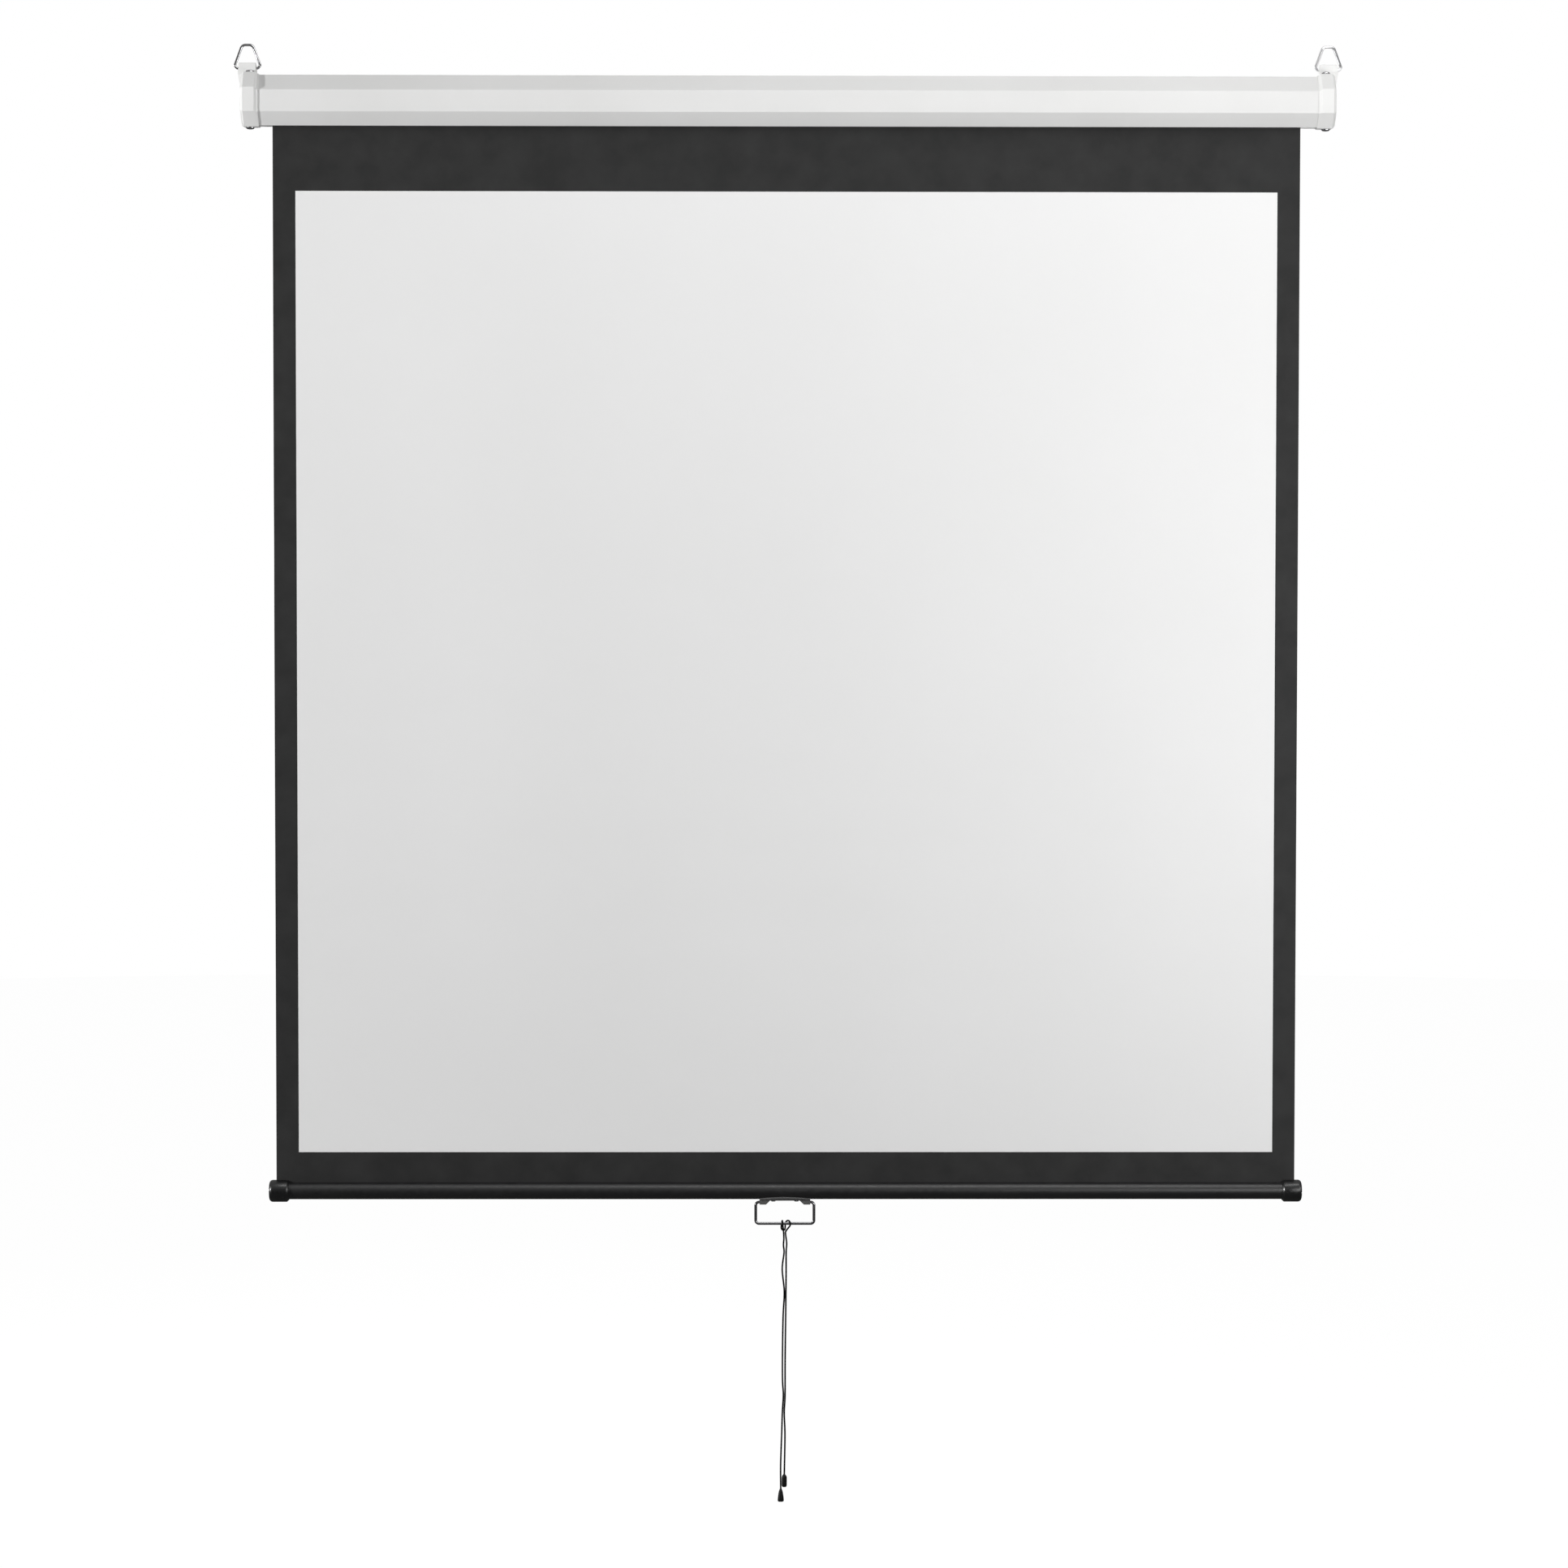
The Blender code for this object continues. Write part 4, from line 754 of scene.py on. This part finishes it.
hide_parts("screen_fabric")
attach(cloth, "case")
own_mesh(cloth)


# Safety turns: the last two turns of the cloth, which stay on the roller when the screen is right
# down, so that no weight hangs on the end that is fastened there.

WOUND_OUTER = 16.45 * MM
WOUND_PITCH = 0.95 * MM
WOUND_TURNS = 2
WOUND_STEPS = 72
wound_path = []
for step in range(WOUND_STEPS * WOUND_TURNS + 1):
    turn = step / WOUND_STEPS
    angle = pi - 2 * pi * turn
    radius = WOUND_OUTER - WOUND_PITCH * turn
    wound_path.append((ROLLER_Y + radius * cos(angle), ROLLER_Z + radius * sin(angle)))
wound = strip("wound_cloth", wound_path, CLOTH_THICKNESS)
dress(backing, wound.name)
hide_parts("wound_screen")
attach(wound, "roller")


# Bottom tube: black painted steel with a slot along its top, which holds the cloth's hem with the
# plated steel rod inside it.

black_paint = finish("black tube paint", (0.004, 0.004, 0.0045), 0.38, Specular_IOR_Level=0.8)
tint(black_paint, pattern(black_paint, "Noise", 14), (0.003, 0.003, 0.0035), (0.005, 0.005, 0.0055))
dull(black_paint, pattern(black_paint, "Noise", 120), 0.36, 0.46)
relief(black_paint, pattern(black_paint, "Noise", 700), 0.00003, 0.5)
tube = softened("painted_tube", "bar_tube", 0.1 * MM, angle=40)
dress(black_paint, tube.name)
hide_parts("bar_tube")
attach(tube, "bottom_bar")
dress(zinc_plate, "hem_rod")


# Tube caps: black mouldings pushed over the tube's ends, each with a rounded end, a slit above for
# the cloth's edge and a narrow slot across the end. One is turned and cut, then copied.

black_plastic = finish("black moulded plastic", (0.004, 0.004, 0.0045), 0.32, Specular_IOR_Level=0.7)
tint(black_plastic, pattern(black_plastic, "Noise", 60), (0.003, 0.003, 0.0035), (0.006, 0.006, 0.0065))
dull(black_plastic, pattern(black_plastic, "Noise", 260), 0.27, 0.37)
relief(black_plastic, pattern(black_plastic, "Noise", 1300), 0.00004, 0.5)
worn(black_plastic, (0.035, 0.035, 0.035), width=0.0008, share=0.7)

CAP_INNER = 775.2 * MM
CAP_OUTER = 806 * MM
CAP_RADIUS = 17.2 * MM
CAP_CORNER = 5.5 * MM
CAP_BORE = 13.5 * MM
CAP_FLOOR = 802.1 * MM
CORNER_STEPS = 9
PRY_DEPTH = 1.4 * MM
PRY_HALF_HEIGHT = 1.1 * MM
cap_profile = [(CAP_INNER + 0.2 * MM, CAP_BORE), (CAP_INNER, CAP_BORE + 0.2 * MM),
               (CAP_INNER, CAP_BORE + 0.5 * MM), (CAP_INNER + 0.25 * MM, CAP_BORE + 0.9 * MM),
               (CAP_INNER + 3.0 * MM, CAP_RADIUS - 0.3 * MM), (CAP_INNER + 3.6 * MM, CAP_RADIUS)]
for step in range(CORNER_STEPS + 1):
    turn = pi / 2 * step / CORNER_STEPS
    cap_profile.append((CAP_OUTER - CAP_CORNER * (1 - sin(turn)),
                        CAP_RADIUS - CAP_CORNER * (1 - cos(turn))))
cap_profile += [(CAP_OUTER, 0), (CAP_FLOOR, 0), (CAP_FLOOR, CAP_BORE),
                (CAP_INNER + 0.2 * MM, CAP_BORE)]


def slab(start, end, depth, low, high):
    """A block to cut with, about the origin's X axis."""
    bpy.ops.object.select_all(action="DESELECT")
    bpy.ops.mesh.primitive_cube_add(size=1, location=((start + end) / 2, 0, (low + high) / 2),
                                    scale=(end - start, depth, high - low))
    block = bpy.context.object
    bpy.ops.object.transform_apply(location=True, rotation=True, scale=True)
    return block


bar_middle = Vector((CLOTH_SHIFT, CLOTH_Y, BAR_Z))
cap_model = turned("bar_cap_model", cap_profile, (0, 0, 0), (1, 0, 0), steps=64)
cut(cap_model, slab(CAP_INNER - 5 * MM, HALF_WIDTH + 1 * MM, depth=3 * MM, low=8 * MM, high=25 * MM))
for side, about, pry_angle in (("left", pi, -14), ("right", 0, 8)):
    stand = Matrix.Translation(bar_middle) @ Matrix.Rotation(about, 4, "Z")
    cap = placed(cap_model, f"tube_cap_{side}", stand)
    pry = slab(CAP_OUTER - PRY_DEPTH, CAP_OUTER + 4 * MM, depth=50 * MM,
               low=-PRY_HALF_HEIGHT, high=PRY_HALF_HEIGHT)
    pry.data.transform(Matrix.Translation(bar_middle) @ Matrix.Rotation(radians(pry_angle), 4, "X")
                       @ Matrix.Rotation(about, 4, "Z"))
    cut(cap, pry)
    select_only(cap)
    bpy.ops.object.shade_smooth_by_angle(angle=radians(28))
    dress(black_plastic, cap.name)
    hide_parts(f"bar_cap_{side}")
    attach(cap, "bottom_bar")
bpy.data.objects.remove(cap_model)


# Handle mount: a dark grey moulded saddle that hugs the tube from below, held by two plated
# rivets, with a foot at each end for the wire bail.

grey_plastic = finish("dark grey moulded plastic", (0.1, 0.1, 0.1), 0.42)
tint(grey_plastic, pattern(grey_plastic, "Noise", 70), (0.09, 0.09, 0.09), (0.12, 0.12, 0.12))
dull(grey_plastic, pattern(grey_plastic, "Noise", 260), 0.36, 0.5)
relief(grey_plastic, pattern(grey_plastic, "Noise", 1300), 0.00004, 0.5)
worn(grey_plastic, (0.2, 0.2, 0.2), width=0.0006, share=0.7)
mount = softened("handle_saddle", "handle_mount", 0.35 * MM)
dress(grey_plastic, mount.name)
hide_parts("handle_mount")
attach(mount, "bottom_bar")
dress(zinc_plate, "mount_rivet_left", "mount_rivet_right")


# Bail: chrome plated steel wire bent to a wide U, its two ends turned inwards into the mount's
# feet, where it swings.

# The bail's chrome is painted darker than the screws' chrome: painted shade that stands for the dark room
# it mirrors.
chrome_painted_dark = plated("chrome painted darker for dark reflections", 0.34, 0.12, 0.12, 0.2, 90)

HANDLE_X = -4.0 * MM
BAIL_PIVOT_Z = -1795.2 * MM
BAIL_WIRE = 4.4 * MM
BAIL_WIRE_Z = -1828.8 * MM
BAIL_CORNER = 5 * MM
bail_half = [(-31, 0), (-45.5, 0), (-45.5, -33.6)]
bail_corners = [Vector((HANDLE_X + x * MM, CLOTH_Y, BAIL_PIVOT_Z + z * MM))
                for x, z in bail_half + [(-x, z) for x, z in reversed(bail_half)]]
bail_path = rounded(bail_corners, [0, BAIL_CORNER, BAIL_CORNER, BAIL_CORNER, BAIL_CORNER, 0])
bail = bent_wire("wire_bail", bail_path, BAIL_WIRE, around=6)
dress(chrome_painted_dark, bail.name)
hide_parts("handle_bail")
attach(bail, "handle")


# Pull cord: a braided black cord doubled and hitched on the bail, its two falls hanging straight
# down, each knotted inside a small turned black toggle.

CORD = 2.7 * MM
RIGHT_KNOTS = [(-1.9, 2.2, -10.4), (-0.8, 2.2, -10.4), (0.3, 2.8, -8.4), (0.6, 3.9, -4.5),
               (0.9, 4.5, -0.6), (2.4, 3.8, 2.8), (5, 0.7, 4.6), (7.4, -2.9, 3.4), (8.6, -4.4, -0.2),
               (7.6, -4, -3.6), (4.5, -2.6, -7.7), (1.6, -1.1, -12), (1.2, 0, -17), (2.9, 0, -31),
               (2.1, -0.5, -46), (2.1, 0, -76), (1.8, -1.1, -107), (1.5, -0.4, -140), (0.7, 0, -215),
               (0.6, -1, -270), (-0.7, -0.9, -298), (0.5, 0, -333), (-0.5, 0, -395.6)]
LEFT_KNOTS = [(-2.3, 2.2, -10.4), (-3.5, 2.2, -10.4), (-5.2, 2.5, -8.5), (-5.5, 3.3, -5.2),
              (-4.9, 4.4, -1.2), (-4.2, 3.3, 2.9), (-3.9, 0.1, 4.4), (-3.7, -3.3, 2.8), (-3.3, -4.3, -0.4),
              (-2.9, -3.7, -5), (-2.4, -2.2, -9.4), (-1.9, -0.7, -14), (-1.5, 0, -24), (-2.1, 0, -34),
              (-1.2, 0.5, -46), (-4, 0, -72), (-0.8, 1.1, -107), (-2.5, 0.4, -145), (-3.4, 0, -195),
              (-3.4, 0.1, -245), (-2.1, 1, -270), (-3.6, 0.9, -298), (-4.7, 0, -334), (-6.2, 0, -380),
              (-6, 0, -418.3)]
BRAID_SIDES = 16
BRAID_SCALE = 0.62
BRAID_STRETCH = (3, 1, 1)
BRAID_TURN = 45
TOGGLE_GAP = 0.3 * MM

braid = finish("braided black cord", (0.004, 0.004, 0.004), 0.7, Specular_IOR_Level=0.12)
plaits = [pattern(braid, "Wave", BRAID_SCALE, BRAID_STRETCH, radians(turn), "UV", bands_direction="X")
          for turn in (BRAID_TURN, BRAID_TURN, -BRAID_TURN)]
tint(braid, plaits[0], (0.002, 0.002, 0.002), (0.007, 0.007, 0.0072))
dull(braid, pattern(braid, "Noise", 900), 0.6, 0.8)
for plait in plaits[1:]:
    relief(braid, plait, 0.0002, 0.5)

satin_black = finish("satin black toggle lacquer", (0.006, 0.006, 0.006), 0.5, Specular_IOR_Level=0.2)
tint(satin_black, pattern(satin_black, "Noise", 220, (1, 1, 0.2)),
     (0.004, 0.004, 0.004), (0.009, 0.009, 0.0085))
dull(satin_black, pattern(satin_black, "Noise", 400), 0.42, 0.56)
relief(satin_black, pattern(satin_black, "Noise", 900, (1, 1, 0.25)), 0.00003, 0.5)
worn(satin_black, (0.035, 0.034, 0.033), width=0.0006, share=0.6)


def smooth_route(knots, samples=7):
    """Points on one smooth curve through the knots."""
    knots = [Vector(knot) * MM for knot in knots]
    ends = [2 * knots[0] - knots[1]] + knots + [2 * knots[-1] - knots[-2]]
    points = []
    for index in range(len(knots) - 1):
        before, start, end, after = ends[index:index + 4]
        for sample in range(samples):
            t = sample / samples
            curve = 2 * start + (end - before) * t + (2 * before - 5 * start + 4 * end - after) * t ** 2
            points.append((curve + (3 * start - before - 3 * end + after) * t ** 3) / 2)
    points.append(knots[-1])
    return points


def braided(name, points, diameter):
    """Cord along a route, with a UV map that runs round it and along it in diameters."""
    shape = bmesh.new()
    uv = shape.loops.layers.uv.new("UVMap")
    rings = []
    across = None
    run = [0.0]
    for index, point in enumerate(points):
        ahead = points[min(index + 1, len(points) - 1)] - points[max(index - 1, 0)]
        ahead.normalize()
        across = ahead.orthogonal() if across is None else across - ahead * across.dot(ahead)
        across.normalize()
        other = ahead.cross(across)
        if index:
            run.append(run[-1] + (point - points[index - 1]).length / diameter)
        ring = []
        for step in range(BRAID_SIDES):
            turn = 2 * pi * step / BRAID_SIDES
            spoke = across * cos(turn) + other * sin(turn)
            ring.append(shape.verts.new(point + spoke * diameter / 2))
        rings.append(ring)
    for row in range(len(rings) - 1):
        for step in range(BRAID_SIDES):
            following = (step + 1) % BRAID_SIDES
            face = shape.faces.new((rings[row][step], rings[row][following],
                                    rings[row + 1][following], rings[row + 1][step]))
            corners = ((step, row), (step + 1, row), (step + 1, row + 1), (step, row + 1))
            for loop, (around, along) in zip(face.loops, corners):
                loop[uv].uv = (4 * around / BRAID_SIDES, run[along])
    for ring in (rings[0][::-1], rings[-1]):
        shape.faces.new(ring)
    mesh = bpy.data.meshes.new(name)
    shape.to_mesh(mesh)
    shape.free()
    made = bpy.data.objects.new(name, mesh)
    bpy.context.scene.collection.objects.link(made)
    select_only(made)
    bpy.ops.object.mode_set(mode="EDIT")
    bpy.ops.mesh.select_all(action="SELECT")
    bpy.ops.mesh.normals_make_consistent(inside=False)
    bpy.ops.object.mode_set(mode="OBJECT")
    bpy.ops.object.shade_smooth_by_angle(angle=radians(50))
    return made


barrel = [(0.25, 0), (0.25, 1.42), (0.8, 1.42), (0.95, 1.55), (0.7, 1.72), (-0.1, 2.1), (-0.7, 2.8),
          (-1.3, 3.3), (-2.2, 3.7), (-3.2, 3.93), (-4.4, 4.05), (-10, 4.08), (-16, 4.05),
          (-17.2, 3.86), (-18, 3.6), (-18.6, 3.2), (-18.9, 2.7), (-18.9, 1.2), (-17.6, 1.0), (-17.6, 0)]
bell = [(0.25, 0), (0.25, 1.42), (0.8, 1.42), (0.95, 1.52), (0.7, 1.66), (-0.2, 1.86), (-1.2, 2.3),
        (-2.6, 2.82), (-4, 3.2), (-6.6, 3.7), (-9.4, 4.1), (-12, 4.45), (-14.7, 4.75), (-16.4, 4.85),
        (-17.6, 4.85), (-18.3, 4.72), (-18.8, 4.5), (-19.1, 4.15), (-19.2, 3.7), (-19.2, 1.2),
        (-17.8, 1.0), (-17.8, 0)]
hitch_centre = Vector((HANDLE_X, CLOTH_Y, BAIL_WIRE_Z))
for side, knots, profile in (("right", RIGHT_KNOTS, barrel), ("left", LEFT_KNOTS, bell)):
    route = [hitch_centre + point for point in smooth_route(knots)]
    strand = braided(f"braided_cord_{side}", route, CORD)
    strand.data.materials.append(braid)
    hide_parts(f"cord_strand_{side}")
    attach(strand, "pull_cord")
    top = route[-1] - Vector((0, 0, TOGGLE_GAP))
    toggle = turned(f"turned_toggle_{side}", [(along * MM, radius * MM) for along, radius in profile],
                    tuple(top), (0, 0, 1), steps=40)
    dress(satin_black, toggle.name)
    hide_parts(f"cord_toggle_{side}")
    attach(toggle, "pull_cord")
